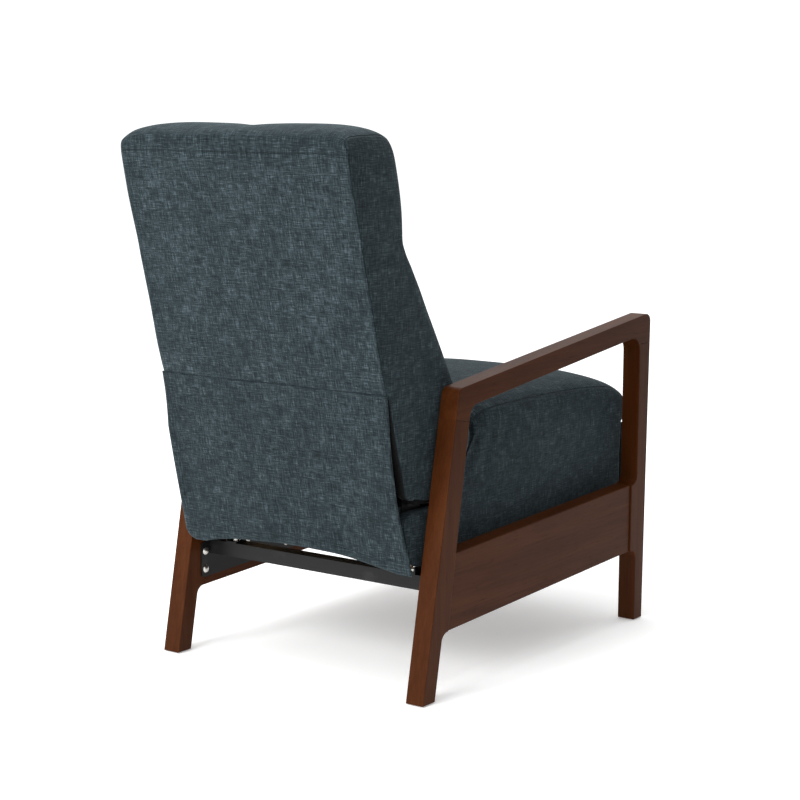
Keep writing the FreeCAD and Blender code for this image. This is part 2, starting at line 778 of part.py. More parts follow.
def frame_front(z):
    """Y of the front plane of the wooden back frame; below the seam it runs to the hinge."""
    seam_y = back_plane(flap_seam) - back_frame_depth
    if z >= flap_seam:
        return back_plane(z) - back_frame_depth
    foot_y = hinge[0] - 35.0
    foot_z = hinge[1] - 7.0
    return foot_y + (seam_y - foot_y) * (z - foot_z) / (flap_seam - foot_z)


def back_side_outline(inset):
    """Side view of the back frame, the rear and top edges moved in by inset."""
    foot_z = hinge[1] - 7.0
    top = back_frame_top + back_skin - inset
    below_seam = max(inset, flap_thickness + 0.6)
    return [
        (frame_front(foot_z), foot_z),
        (hinge[0] + 12.0, foot_z),
        (hinge[0] + 27.0 + back_skin - inset, hinge[1] + 12.0, 12.0),
        (back_plane(flap_seam) - below_seam, flap_seam),
        (back_plane(flap_seam) - inset, flap_seam),
        (back_plane(top) - inset, top),
        (frame_front(top), top),
        (frame_front(flap_seam), flap_seam),
    ]


def back_post():
    shape = slab(back_side_outline(back_skin), post_inner, post_outer)
    for centre in bracket_bolt_places():
        shape = shape.cut(rod(post_inner - 1, post_inner + 16, centre, 3.0))
    head = rod(post_inner - 1, post_inner + 2.0, control_pin, pin_head_radius + 1)
    return shape.cut(head).cut(rod(post_inner - 1, post_inner + 2.0, hinge, pin_head_radius + 1))


def bracket_bolt_places():
    return [bracket_point(80.0), bracket_point(120.0), bracket_point(155.0)]


def bracket_point(height):
    """Point on the middle line of the back bracket, a height above the hinge."""
    return (hinge[0] + 0.36 * height - 4.0, hinge[1] + height)


def back_bracket():
    holes = [(hinge, pin_radius + pin_clearance), (control_pin, pin_radius)]
    holes += [(c, 3.0) for c in bracket_bolt_places()]
    return link([hinge, control_pin, bracket_point(80.0), bracket_point(168.0)], bracket_x,
                post_inner, 13.0, holes)


def back_board(low_z, high_z, rear_offset, front_offset, reach):
    """Board across the back between two heights, at offsets from the frame's front plane."""
    corners = [
        (frame_front(low_z) + front_offset, low_z),
        (frame_front(low_z) + rear_offset, low_z),
        (frame_front(high_z) + rear_offset, high_z),
        (frame_front(high_z) + front_offset, high_z),
    ]
    return slab(corners, -reach, reach)


def back_cushion():
    (low_y, low_z), (fore_y, fore_z) = cushion_front_line()
    gap = web_thickness + 0.6
    notch = (back_plane(notch_height) - 139.0, notch_height - 2.0)
    corners = [
        (frame_front(low_z) - gap, low_z),
        (low_y, low_z, 10.0),
        (fore_y, fore_z, 24.0),
        (fore_y + 88.0, 570.0, 300.0),
        notch,
        (frame_front(notch[1]) - gap, notch[1]),
        (frame_front(flap_seam) - gap, flap_seam),
    ]
    return slab(corners, -back_half, back_half)


def head_cushion():
    gap = web_thickness + 0.6
    top_of_frame = back_frame_top + back_skin + 0.4
    corners = [
        (frame_front(notch_height) - gap, notch_height),
        (back_plane(notch_height) - 139.0, notch_height, 6.0),
        (back_plane(notch_height) - 160.0, notch_height + 62.0, 60.0),
        (back_plane(back_top) - 104.0, back_top - 16.0, 45.0),
        (back_plane(back_top) - 2.0, back_top, 18.0),
        (back_plane(top_of_frame), top_of_frame),
        (frame_front(top_of_frame) - gap, top_of_frame),
    ]
    return slab(corners, -back_half, back_half)


def rear_panel():
    """Padded fabric across the rear of the back frame, above the flap's seam."""
    top = back_frame_top + back_skin
    corners = [(back_plane(flap_seam), flap_seam), (back_plane(top), top),
               (back_plane(top) - back_skin, top), (back_plane(flap_seam) - back_skin, flap_seam)]
    return slab(corners, -post_outer, post_outer)


def back_border():
    """Padded fabric on the outer sides of the posts and over the top rail."""
    side = slab(back_side_outline(0.0), post_outer, back_half)
    top = back_frame_top
    corners = [(frame_front(top), top), (back_plane(top) - back_skin, top),
               (back_plane(top + back_skin) - back_skin, top + back_skin),
               (frame_front(top + back_skin), top + back_skin)]
    return group([both(side), slab(corners, -post_outer, post_outer)])


def rear_flap():
    """Loose fabric flap from the seam to its arched hem, in the rear panel's plane."""
    half = back_half + flap_overhang
    seam_z = flap_seam - 0.4
    corners = [(back_plane(seam_z), seam_z), (back_plane(flap_bottom), flap_bottom),
               (back_plane(flap_bottom) - flap_thickness, flap_bottom),
               (back_plane(seam_z) - flap_thickness, seam_z)]
    sheet = slab(corners, -half, half)
    rise = flap_arch
    span = half - 30.0
    radius = (span ** 2 + rise ** 2) / (2 * rise)
    arch = Part.makeCylinder(radius, 200.0, V(0, back_plane(flap_bottom) + 100.0,
                                              flap_bottom + rise - radius), V(0, -1, 0))
    return sheet.cut(arch)


def make_back():
    side_pair("back_post", back_post())
    nodes["back_top_rail"] = back_board(back_frame_top - 40.0, back_frame_top,
                                        back_frame_depth - back_skin, 0.0, post_inner)
    nodes["back_middle_rail"] = back_board(flap_seam, flap_seam + 40.0, back_frame_depth - back_skin,
                                           back_frame_depth - back_skin - rail_board, post_inner)
    nodes["back_lower_rail"] = back_board(hinge[1] + 68.0, hinge[1] + 108.0, rail_board, 0.0, bracket_x)
    step = 2 * (post_inner - web_width / 2 - 10.0) / (web_count - 1)
    web_low = hinge[1] + 70.0
    web_high = back_frame_top - 4.0
    straps = []
    for i in range(web_count):
        x = (i - (web_count - 1) / 2) * step
        corners = [
            (frame_front(web_low), web_low), (frame_front(flap_seam), flap_seam),
            (frame_front(web_high), web_high), (frame_front(web_high) - web_thickness, web_high),
            (frame_front(flap_seam) - web_thickness, flap_seam),
            (frame_front(web_low) - web_thickness, web_low),
        ]
        straps.append(slab(corners, x - web_width / 2, x + web_width / 2))
    nodes["back_webbing"] = group(straps)
    nodes["back_cushion"] = back_cushion()
    nodes["head_cushion"] = head_cushion()
    nodes["back_rear_panel"] = rear_panel()
    nodes["back_border"] = back_border()
    nodes["rear_flap"] = rear_flap()
    nodes["back_brackets"] = both(back_bracket())
    bolts = []
    for centre in bracket_bolt_places():
        bolt = rod(bracket_x, post_inner + 15.0, centre, 3.0)
        bolts.append(bolt.fuse(rod(bracket_x - 2.5, bracket_x, centre, 6.0)).removeSplitter())
    nodes["back_bracket_bolts"] = both(group(bolts))
    nodes["back_control_pins"] = both(headed_pin(control_pin, layer_three - 0.3, post_inner, True, True))


# ---------------------------------------------------------------- footrest
def footrest_board():
    rear = -seat_front - footrest_gap
    half = frame_inner - footrest_side_gap - pad_overlap
    return box((-half, half), (rear - board_thickness, rear), (board_bottom, board_bottom + board_height))


def footrest_pad():
    """Upholstery on the board's front, turned over its four edges."""
    rear = -seat_front - footrest_gap
    half = frame_inner - footrest_side_gap
    front = rear - board_thickness - pad_thickness
    low = board_bottom - pad_overlap
    high = footrest_top()
    corners = [(rear - 1.0, low, 4.0), (front, low, 16.0), (front, high, 16.0), (rear - 1.0, high, 4.0)]
    return slab(corners, -half, half).cut(footrest_board())


def footrest_bracket():
    """Plate from the footrest's two pins to a flange on the back of the board."""
    rear = -seat_front - footrest_gap
    under = deck_height - cross_rail_height - 7.0
    width = link_half_width
    start = footrest_pin
    lower = footrest_lower_pin
    fore = (rear, (board_bottom + under) / 2)
    arm = link([lower, start], layer_one, layer_one + plate, width, [])
    web = slab([(rear, board_bottom + 8.0), (rear, under), (start[0], under - 2.0),
                (start[0], fore[1] - 12.0)], layer_one, layer_one + plate)
    shape = arm.fuse(web)
    for centre in (start, lower):
        shape = shape.cut(rod(layer_one - 1, layer_one + plate + 1, centre, pin_radius))
    flange = box((layer_one - 28.0, layer_one + plate), (rear, rear + plate), (board_bottom + 8.0, under))
    shape = shape.fuse(flange)
    for z in footrest_screw_heights():
        shape = shape.cut(Part.makeCylinder(2.5, 40.0, V(layer_one - 15.0, rear + 20.0, z), V(0, -1, 0)))
    return shape.removeSplitter()


def footrest_screw_heights():
    return (board_bottom + 17.0, board_bottom + 35.0)


def make_footrest():
    rear = -seat_front - footrest_gap
    board = footrest_board()
    screws = []
    for z in footrest_screw_heights():
        start = V(layer_one - 15.0, rear + plate, z)
        shank = Part.makeCylinder(2.5, plate + board_thickness - 2.0, start, V(0, -1, 0))
        head = Part.makeCylinder(4.5, 0.8, start, V(0, 1, 0))
        screws.append(shank.fuse(head).removeSplitter())
    holes = both(group(screws))
    nodes["footrest_board"] = board.cut(holes)
    nodes["footrest_pad"] = footrest_pad()
    nodes["footrest_brackets"] = both(footrest_bracket())
    nodes["footrest_screws"] = holes
    pins = [headed_pin(c, layer_two - 0.3, layer_one + plate, True, False)
            for c in (footrest_pin, footrest_lower_pin)]
    nodes["footrest_pins"] = both(group(pins))


# ---------------------------------------------------------------- build and write
make_side_frames()
make_base()
make_swing_links()
make_control_links()
make_footrest_links()
make_seat()
make_back()
make_footrest()

whole = Part.makeCompound(list(nodes.values())).BoundBox
shift = -(whole.YMin + whole.YMax) / 2
os.makedirs("parts", exist_ok=True)
for name, shape in nodes.items():
    moved = shape.copy()
    moved.translate(V(0, shift, 0))
    moved.exportStep("parts/" + name + ".step")

print("nodes", len(nodes), "shift", round(shift, 4))
print("size", round(whole.XLength, 2), round(whole.YLength, 2), round(whole.ZLength, 2))
for name, place in {"hinge": hinge, "rear_swing": rear_swing, "rear_swing_top": rear_swing_top,
                    "front_swing": front_swing, "control_foot": control_foot, "foot_pivot": foot_pivot,
                    "front_pivot": front_pivot, "crossing": crossing, "link_end": link_end,
                    "footrest_pin": footrest_pin,
                    "flap_seam": (back_plane(flap_seam), flap_seam)}.items():
    print("pivot", name, round(place[0] + shift, 4), round(place[1], 4))
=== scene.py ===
"""Push-back recliner armchair: upholstery, finishes, floor, lights and camera.

Metres throughout. +Z is up, the chair faces -Y and the sitter's right hand is at -X.
Side views are given from the heel, the lowest rear edge of the rear legs, in millimetres:
y runs rearwards from it and z is the height above the floor.
"""

import json
import math

import bpy
import numpy as np
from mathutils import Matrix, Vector


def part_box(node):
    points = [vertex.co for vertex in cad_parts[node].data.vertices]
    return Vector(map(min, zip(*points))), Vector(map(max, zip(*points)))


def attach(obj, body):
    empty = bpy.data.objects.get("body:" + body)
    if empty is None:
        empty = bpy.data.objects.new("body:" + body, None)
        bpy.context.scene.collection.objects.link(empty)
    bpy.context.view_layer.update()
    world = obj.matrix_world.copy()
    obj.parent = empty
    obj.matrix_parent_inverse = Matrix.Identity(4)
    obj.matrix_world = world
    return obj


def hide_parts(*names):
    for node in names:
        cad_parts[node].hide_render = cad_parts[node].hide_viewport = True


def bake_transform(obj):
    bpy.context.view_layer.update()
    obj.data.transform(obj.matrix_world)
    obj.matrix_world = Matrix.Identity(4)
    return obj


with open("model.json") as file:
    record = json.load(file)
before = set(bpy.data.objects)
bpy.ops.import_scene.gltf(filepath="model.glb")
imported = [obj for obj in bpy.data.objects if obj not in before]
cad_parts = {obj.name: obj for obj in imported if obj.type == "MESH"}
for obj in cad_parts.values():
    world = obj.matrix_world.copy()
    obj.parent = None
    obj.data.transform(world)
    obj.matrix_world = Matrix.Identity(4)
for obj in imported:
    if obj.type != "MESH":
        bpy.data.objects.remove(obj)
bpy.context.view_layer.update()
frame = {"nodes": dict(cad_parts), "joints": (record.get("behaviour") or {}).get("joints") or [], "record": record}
scene = bpy.context.scene

joints = {joint["name"]: joint for joint in frame["joints"]}
seam_y, seam_z = joints["rear_flap_hang"]["pos_m"][1:]
PLANE_SLOPE = 0.2115                      # rearward travel of the rear panel per metre of height
PLANE_FOOT = -0.0755                      # where the rear panel's plane meets the floor, from the heel
HEEL = seam_y - (PLANE_SLOPE * seam_z + PLANE_FOOT)
BACK_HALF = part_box("back_cushion")[1].x
SEAT_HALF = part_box("seat_cushion")[1].x
FLAP_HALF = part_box("rear_flap")[1].x
BACK_FOOT = 0.345                         # height of the back posts' feet
POST_INNER = 0.2334                       # the cover's inner face, just outside the posts' inner faces
NOTCH_HEIGHT = 0.799                      # seam between the head pillow and the lumbar cushion
BAND_HEIGHT = 0.954                       # seam across the rear, below the top
RAIL_TOP = 0.3306                         # underside of the seat over the side rails
HEM_HEIGHT = 0.222                        # lowest point of the rear flap
CLOTH_LOW = 0.232                         # lower edge of the seat's side cloth


# ---------------------------------------------------------------- node trees
class Value:
    """A number in a node tree. Arithmetic on it adds Math nodes."""

    def __init__(self, look, socket):
        self.look = look
        self.socket = socket

    def math(self, operation, *others):
        inputs = {i: v.socket if isinstance(v, Value) else v for i, v in enumerate(others)}
        node = self.look.add("ShaderNodeMath", {"operation": operation}, inputs)
        return Value(self.look, node.outputs[0])

    def __add__(self, other):
        return self.math("ADD", self, other)

    def __radd__(self, other):
        return self.math("ADD", other, self)

    def __sub__(self, other):
        return self.math("SUBTRACT", self, other)

    def __rsub__(self, other):
        return self.math("SUBTRACT", other, self)

    def __mul__(self, other):
        return self.math("MULTIPLY", self, other)

    def __rmul__(self, other):
        return self.math("MULTIPLY", other, self)

    def clamped(self):
        node = self.look.add("ShaderNodeClamp", {}, {0: self.socket})
        return Value(self.look, node.outputs[0])

    def stepped(self, low, high):
        """0 at low and 1 at high, smooth between them."""
        inputs = {"Value": self.socket, "From Min": low, "From Max": high}
        node = self.look.add("ShaderNodeMapRange", {"interpolation_type": "SMOOTHSTEP"}, inputs)
        return Value(self.look, node.outputs[0])


class Look:
    """A material with one Principled shader."""

    def __init__(self, name, **constants):
        self.material = bpy.data.materials.new(name)
        self.material.use_nodes = True
        self.tree = self.material.node_tree
        self.tree.nodes.clear()
        self.shader = self.add("ShaderNodeBsdfPrincipled", {}, {})
        output = self.add("ShaderNodeOutputMaterial", {}, {})
        self.tree.links.new(self.shader.outputs[0], output.inputs["Surface"])
        for key, value in constants.items():
            self.shader.inputs[key.replace("_", " ")].default_value = value

    def add(self, kind, settings, inputs):
        """A node with its settings made first, then its sockets' values or links."""
        node = self.tree.nodes.new(kind)
        for key, value in settings.items():
            if key == "stops":
                ramp = node.color_ramp
                while len(ramp.elements) < len(value):
                    ramp.elements.new(0.5)
                for element, (place, colour) in zip(ramp.elements, value):
                    element.position = place
                    element.color = (*colour, 1.0)
            else:
                setattr(node, key, value)
        for key, value in inputs.items():
            if isinstance(value, bpy.types.NodeSocket):
                self.tree.links.new(value, node.inputs[key])
            else:
                node.inputs[key].default_value = value
        return node

    def feed(self, **links):
        for key, value in links.items():
            socket = value.socket if isinstance(value, Value) else value
            self.tree.links.new(socket, self.shader.inputs[key.replace("_", " ")])
        return self.material

    def cloth_place(self):
        """Place on the cloth in metres: across and along the threads."""
        return self.add("ShaderNodeUVMap", {"uv_map": "cloth"}, {}).outputs[0]

    def object_place(self):
        return self.add("ShaderNodeTexCoord", {}, {}).outputs["Object"]

    def attribute(self, name):
        node = self.add("ShaderNodeAttribute", {"attribute_name": name}, {})
        return Value(self, node.outputs["Fac"])

    def noise(self, place, scale, detail=2.0, roughness=0.5, distortion=0.0):
        """Noise from 0 to 1 with scale cycles per metre along each axis."""
        stretched = self.add("ShaderNodeMapping", {}, {"Vector": place, "Scale": scale}).outputs[0]
        inputs = {"Vector": stretched, "Scale": 1.0, "Detail": detail,
                  "Roughness": roughness, "Distortion": distortion}
        return Value(self, self.add("ShaderNodeTexNoise", {}, inputs).outputs["Fac"])

    def mixed(self, share, first, second):
        """Colour that goes from first to second as share goes from 0 to 1."""
        mix = self.add("ShaderNodeMix", {"data_type": "RGBA"}, {})
        pairs = ((0, share.socket), (6, first), (7, second))
        for key, value in pairs:
            if isinstance(value, bpy.types.NodeSocket):
                self.tree.links.new(value, mix.inputs[key])
            else:
                mix.inputs[key].default_value = (*value, 1.0)
        return mix.outputs[2]

    def bump(self, height, distance, strength=1.0):
        inputs = {"Height": height.socket, "Distance": distance, "Strength": strength}
        return self.add("ShaderNodeBump", {}, inputs).outputs[0]


def chenille(name):
    """Heathered slate cloth: slubs along both threads, pale mottled patches, a dark line at seams, and painted
    shade where a point attribute asks for it.
    """
    look = Look(name, Sheen_Weight=0.10, Sheen_Roughness=0.5, Specular_IOR_Level=0.10)
    look.shader.inputs["Sheen Tint"].default_value = (0.70, 0.90, 1.0, 1.0)
    place = look.cloth_place()
    warp = look.noise(place, (760.0, 52.0, 1.0), 3.0, 0.6)
    weft = look.noise(place, (52.0, 760.0, 1.0), 3.0, 0.6)
    slub_up = look.noise(place, (330.0, 20.0, 1.0), 2.0)
    slub_over = look.noise(place, (20.0, 330.0, 1.0), 2.0)
    patches = look.noise(place, (44.0, 38.0, 1.0), 5.0, 0.70, 0.3)
    clouds = look.noise(place, (9.0, 7.0, 1.0), 3.0)
    seam = look.attribute("seam")
    beside = 1.0 - seam.stepped(0.0007, 0.0022)
    threads = warp * 0.5 + weft * 0.5
    slubs = slub_up * 0.5 + slub_over * 0.5
    tone = (threads - 0.5) * 3.4 + (slubs - 0.5) * 1.2 + (patches - 0.5) * 0.85 + (clouds - 0.5) * 0.35
    # The attribute read last darkens the colour as painted shade: on the band above the rear seam, on the top and
    # on the flap.
    share = (tone + 0.44 - beside * 0.22 - look.attribute("nap") * 0.045).clamped()
    ramp = look.add("ShaderNodeValToRGB", {"stops": [
        (0.0, (0.0033, 0.0060, 0.0073)), (0.35, (0.0110, 0.0177, 0.0206)),
        (0.65, (0.0255, 0.0375, 0.0430)), (1.0, (0.0740, 0.0970, 0.1080))]}, {0: share.socket})
    pucker = look.noise(place, (95.0, 95.0, 1.0), 1.0) * (1.0 - seam.stepped(0.0, 0.016))
    groove = 1.0 - seam.stepped(0.0, 0.0030)
    height = threads * 1.1 + slubs * 0.7 + pucker * 1.4 - groove * 1.3
    return look.feed(Base_Color=ramp.outputs[0], Roughness=0.80 + patches * 0.18,
                     Normal=look.bump(height, 0.0011, 0.75))


def lining_painted_shade_look(name):
    """Black spun lining cloth, as under and inside upholstery: matted fibres with pressed dots. Its near-black
    colour is also painted shade for the dark inside of the upholstery.
    """
    look = Look(name, Specular_IOR_Level=0.05)
    place = look.object_place()
    fibres = look.noise(place, (900.0, 900.0, 900.0), 3.0, 0.7)
    dots = look.noise(place, (420.0, 420.0, 420.0), 0.0).stepped(0.56, 0.66)
    colour = look.mixed((fibres - dots * 0.3).clamped(), (0.0030, 0.0032, 0.0035), (0.0140, 0.0145, 0.0150))
    return look.feed(Base_Color=colour, Roughness=0.85 + fibres * 0.1,
                     Normal=look.bump(fibres * 0.6 - dots, 0.0004, 0.6))


def stained_wood(name, along):
    """Dark walnut stain: streaks and open pores run along one axis, with a satin varnish."""
    look = Look(name, IOR=1.45, Coat_IOR=1.4, Coat_Roughness=0.25, Specular_IOR_Level=0.05)
    place = look.object_place()

    def stretched(fine, long):
        return tuple(long if axis == along else fine for axis in "xyz")

    streaks = look.noise(place, stretched(38.0, 2.6), 4.0, 0.55, 0.6)
    fibres = look.noise(place, stretched(260.0, 7.0), 3.0, 0.6)
    pores = look.noise(place, stretched(900.0, 38.0), 1.0)
    wear = look.noise(place, (6.0, 6.0, 6.0), 3.0)
    tone = (streaks * 0.62 + fibres * 0.38 - 0.5) * 1.5 + 0.5
    wood = look.add("ShaderNodeValToRGB", {"stops": [
        (0.0, (0.0240, 0.0054, 0.0011)), (0.45, (0.0470, 0.0125, 0.0026)),
        (0.75, (0.0650, 0.0190, 0.0046)), (1.0, (0.0880, 0.0285, 0.0085))]}, {0: tone.clamped().socket})
    open_pores = 1.0 - pores.stepped(0.22, 0.36)
    colour = look.mixed(open_pores * 0.55, wood.outputs[0], (0.0120, 0.0042, 0.0022))
    height = fibres * 0.35 - open_pores * 0.6 + streaks * 0.5
    return look.feed(Base_Color=colour, Roughness=0.36 + wear * 0.12 + open_pores * 0.2,
                     Coat_Weight=0.07 - open_pores * 0.06, Normal=look.bump(height, 0.00035, 0.5))


def bare_wood(name, along):
    """Unfinished frame timber: pale, with growth streaks and rough sawn fibres."""
    look = Look(name, Specular_IOR_Level=0.25)
    place = look.object_place()
    scale = {"x": (3.0, 55.0, 55.0), "y": (55.0, 3.0, 55.0), "z": (55.0, 55.0, 3.0)}[along]
    streaks = look.noise(place, scale, 4.0, 0.6, 0.5)
    fibres = look.noise(place, tuple(6.0 * s for s in scale), 2.0)
    saw = look.noise(place, (900.0, 900.0, 900.0), 1.0)
    tone = (streaks - 0.5) * 1.4 + (fibres - 0.5) * 0.5 + 0.5
    colour = look.mixed(tone.clamped(), (0.30, 0.185, 0.098), (0.60, 0.44, 0.275))
    return look.feed(Base_Color=colour, Roughness=0.70 + fibres * 0.2,
                     Normal=look.bump(fibres + saw * 0.4, 0.0005, 0.5))


def powder_coat(name):
    """Black powder-coated steel: an orange-peel skin with a few dull rubs."""
    look = Look(name, Specular_IOR_Level=0.20)
    place = look.object_place()
    peel = look.noise(place, (1100.0, 1100.0, 1100.0), 2.0)
    rubs = look.noise(place, (22.0, 22.0, 22.0), 5.0, 0.65)
    worn = rubs.stepped(0.56, 0.74)
    colour = look.mixed(worn, (0.0075, 0.0075, 0.0080), (0.0220, 0.0216, 0.0212))
    return look.feed(Base_Color=colour, Roughness=0.34 + worn * 0.22 + peel * 0.06,
                     Normal=look.bump(peel, 0.00025, 0.45))


def zinc_plate(name):
    """Bright zinc: drawn lines, cloudy plating and a few dull spots."""
    look = Look(name)
    place = look.object_place()
    clouds = look.noise(place, (85.0, 85.0, 85.0), 4.0)
    grain = look.noise(place, (1600.0, 1600.0, 500.0), 2.0)
    spots = look.noise(place, (320.0, 320.0, 320.0), 1.0).stepped(0.64, 0.74)
    tone = (clouds * 0.8 + grain * 0.2 - spots * 0.3).clamped()
    colour = look.mixed(tone, (0.42, 0.40, 0.36), (0.78, 0.77, 0.73))
    return look.feed(Base_Color=colour, Metallic=1.0 - spots * 0.35,
                     Roughness=0.20 + clouds * 0.16 + spots * 0.2,
                     Normal=look.bump(grain * 0.6 - spots, 0.0001, 0.4))


def moulded_nylon(name):
    """Black nylon glide with a fine texture and scuffs from the floor."""
    look = Look(name, Specular_IOR_Level=0.4)
    place = look.object_place()
    texture = look.noise(place, (1800.0, 1800.0, 1800.0), 1.0)
    scuffs = look.noise(place, (140.0, 140.0, 30.0), 4.0).stepped(0.55, 0.72)
    colour = look.mixed(scuffs, (0.016, 0.016, 0.017), (0.070, 0.068, 0.066))
    return look.feed(Base_Color=colour, Roughness=0.45 + scuffs * 0.3,
                     Normal=look.bump(texture, 0.0002, 0.4))


def woven_strap(name):
    """Elastic webbing: ribs across the strap, rubber threads along it and two pale edge lines."""
    look = Look(name, Specular_IOR_Level=0.2)
    place = look.cloth_place()
    ribs = look.noise(place, (60.0, 620.0, 1.0), 1.0)
    cords = look.noise(place, (520.0, 12.0, 1.0), 1.0)
    edge = look.attribute("seam")
    lines = edge.stepped(0.0055, 0.0065) * (1.0 - edge.stepped(0.0085, 0.0095))
    fuzz = look.noise(place, (900.0, 900.0, 1.0), 2.0)
    tone = (cords * 0.6 + ribs * 0.6 - 0.1).clamped()
    dark = look.mixed(tone, (0.010, 0.010, 0.011), (0.060, 0.060, 0.064))
    colour = look.mixed(lines * 0.7, dark, (0.36, 0.34, 0.30))
    return look.feed(Base_Color=colour, Roughness=0.78 + fuzz * 0.15,
                     Normal=look.bump(ribs * 0.8 + cords, 0.0008, 0.7))


# ---------------------------------------------------------------- meshes
def piece(name, points, faces, material, cloth=None, seam=None, nap=None):
    """Mesh object in the row frame. cloth is each face corner's place on the cloth.

    seam is each point's distance to a seam, and the last argument is each point's painted shade, 1 where the
    cloth's colour is darkened most.
    """
    mesh = bpy.data.meshes.new(name)
    corners = faces if isinstance(faces, list) else faces.tolist()
    mesh.from_pydata(np.asarray(points, float).tolist(), [], corners)
    mesh.polygons.foreach_set("use_smooth", np.ones(len(faces), bool))
    if cloth is not None:
        layer = mesh.uv_layers.new(name="cloth")
        layer.data.foreach_set("uv", np.asarray(cloth, np.float32).ravel())
    for key, values in (("seam", seam), ("nap", nap)):
        if values is not None:
            attribute = mesh.attributes.new(key, "FLOAT", "POINT")
            attribute.data.foreach_set("value", np.asarray(values, np.float32))
    mesh.materials.append(material)
    obj = bpy.data.objects.new(name, mesh)
    scene.collection.objects.link(obj)
    return obj


def given_shade_lining(obj, faces, shade_lining):
    """Gives some faces of a piece the black lining, whose near-black colour is painted shade where the inside
    shows dark.
    """
    obj.data.materials.append(shade_lining)
    obj.data.polygons.foreach_set("material_index", np.asarray(faces, np.int32))


def line_through(points, shares):
    """Points at shares of the length of a Catmull-Rom curve through the given points."""
    p = np.asarray(points, float)
    knots = np.r_[0.0, np.cumsum(np.linalg.norm(np.diff(p, axis=0), axis=1) ** 0.5)]
    slopes = np.gradient(p, knots, axis=0)
    t = np.linspace(0.0, knots[-1], 1200)
    s = np.clip(np.searchsorted(knots, t, side="right") - 1, 0, len(p) - 2)
    h = (knots[s + 1] - knots[s])[:, None]
    r = (t - knots[s])[:, None] / h
    q = ((2 * r**3 - 3 * r**2 + 1) * p[s] + (r**3 - 2 * r**2 + r) * h * slopes[s]
         + (3 * r**2 - 2 * r**3) * p[s + 1] + (r**3 - r**2) * h * slopes[s + 1])
    length = np.r_[0.0, np.cumsum(np.linalg.norm(np.diff(q, axis=0), axis=1))]
    length /= length[-1]
    return np.stack([np.interp(shares, length, q[:, c]) for c in (0, 1)], 1)


def grid_quads(shape):
    """Quads between the points of a grid, numbered row by row, that face the rear of the chair."""
    number = np.arange(shape[0] * shape[1]).reshape(shape)
    quads = np.stack([number[1:, :-1], number[1:, 1:], number[:-1, 1:], number[:-1, :-1]], -1)
    return quads.reshape(-1, 4)


def thickened(obj, thickness):
    """A sheet given its thickness on the inner side."""
    solid = obj.modifiers.new("thickness", "SOLIDIFY")
    solid.thickness = thickness
    solid.offset = -1.0
    applied(obj)


def applied(obj):
    """The piece with its modifiers made into its mesh."""
    graph = bpy.context.evaluated_depsgraph_get()
    mesh = bpy.data.meshes.new_from_object(obj.evaluated_get(graph))
    obj.modifiers.clear()
    old, obj.data = obj.data, mesh
    bpy.data.meshes.remove(old)
    mesh.name = obj.name


def side_patch(rear, front, bottom, top, across, up):
    """Side view as an (across + 1) by (up + 1) grid of (y, z), from its four edge lines.

    A point is the two blends between facing edges added, less the blend of the four corners.
    """
    b = np.linspace(0.0, 1.0, across + 1)[:, None, None]
    a = np.linspace(0.0, 1.0, up + 1)[None, :, None]
    rear_line = line_through(rear, a.ravel())[None]
    front_line = line_through(front, a.ravel())[None]
    low_line = line_through(bottom, b.ravel())[:, None]
    top_line = line_through(top, b.ravel())[:, None]
    corners = ((1 - b) * (1 - a) * low_line[:1] + b * (1 - a) * low_line[-1:]
               + (1 - b) * a * top_line[:1] + b * a * top_line[-1:])
    grid = (1 - b) * rear_line + b * front_line + (1 - a) * low_line + a * top_line - corners
    grid = grid / 1000.0
    grid[..., 0] += HEEL
    return grid


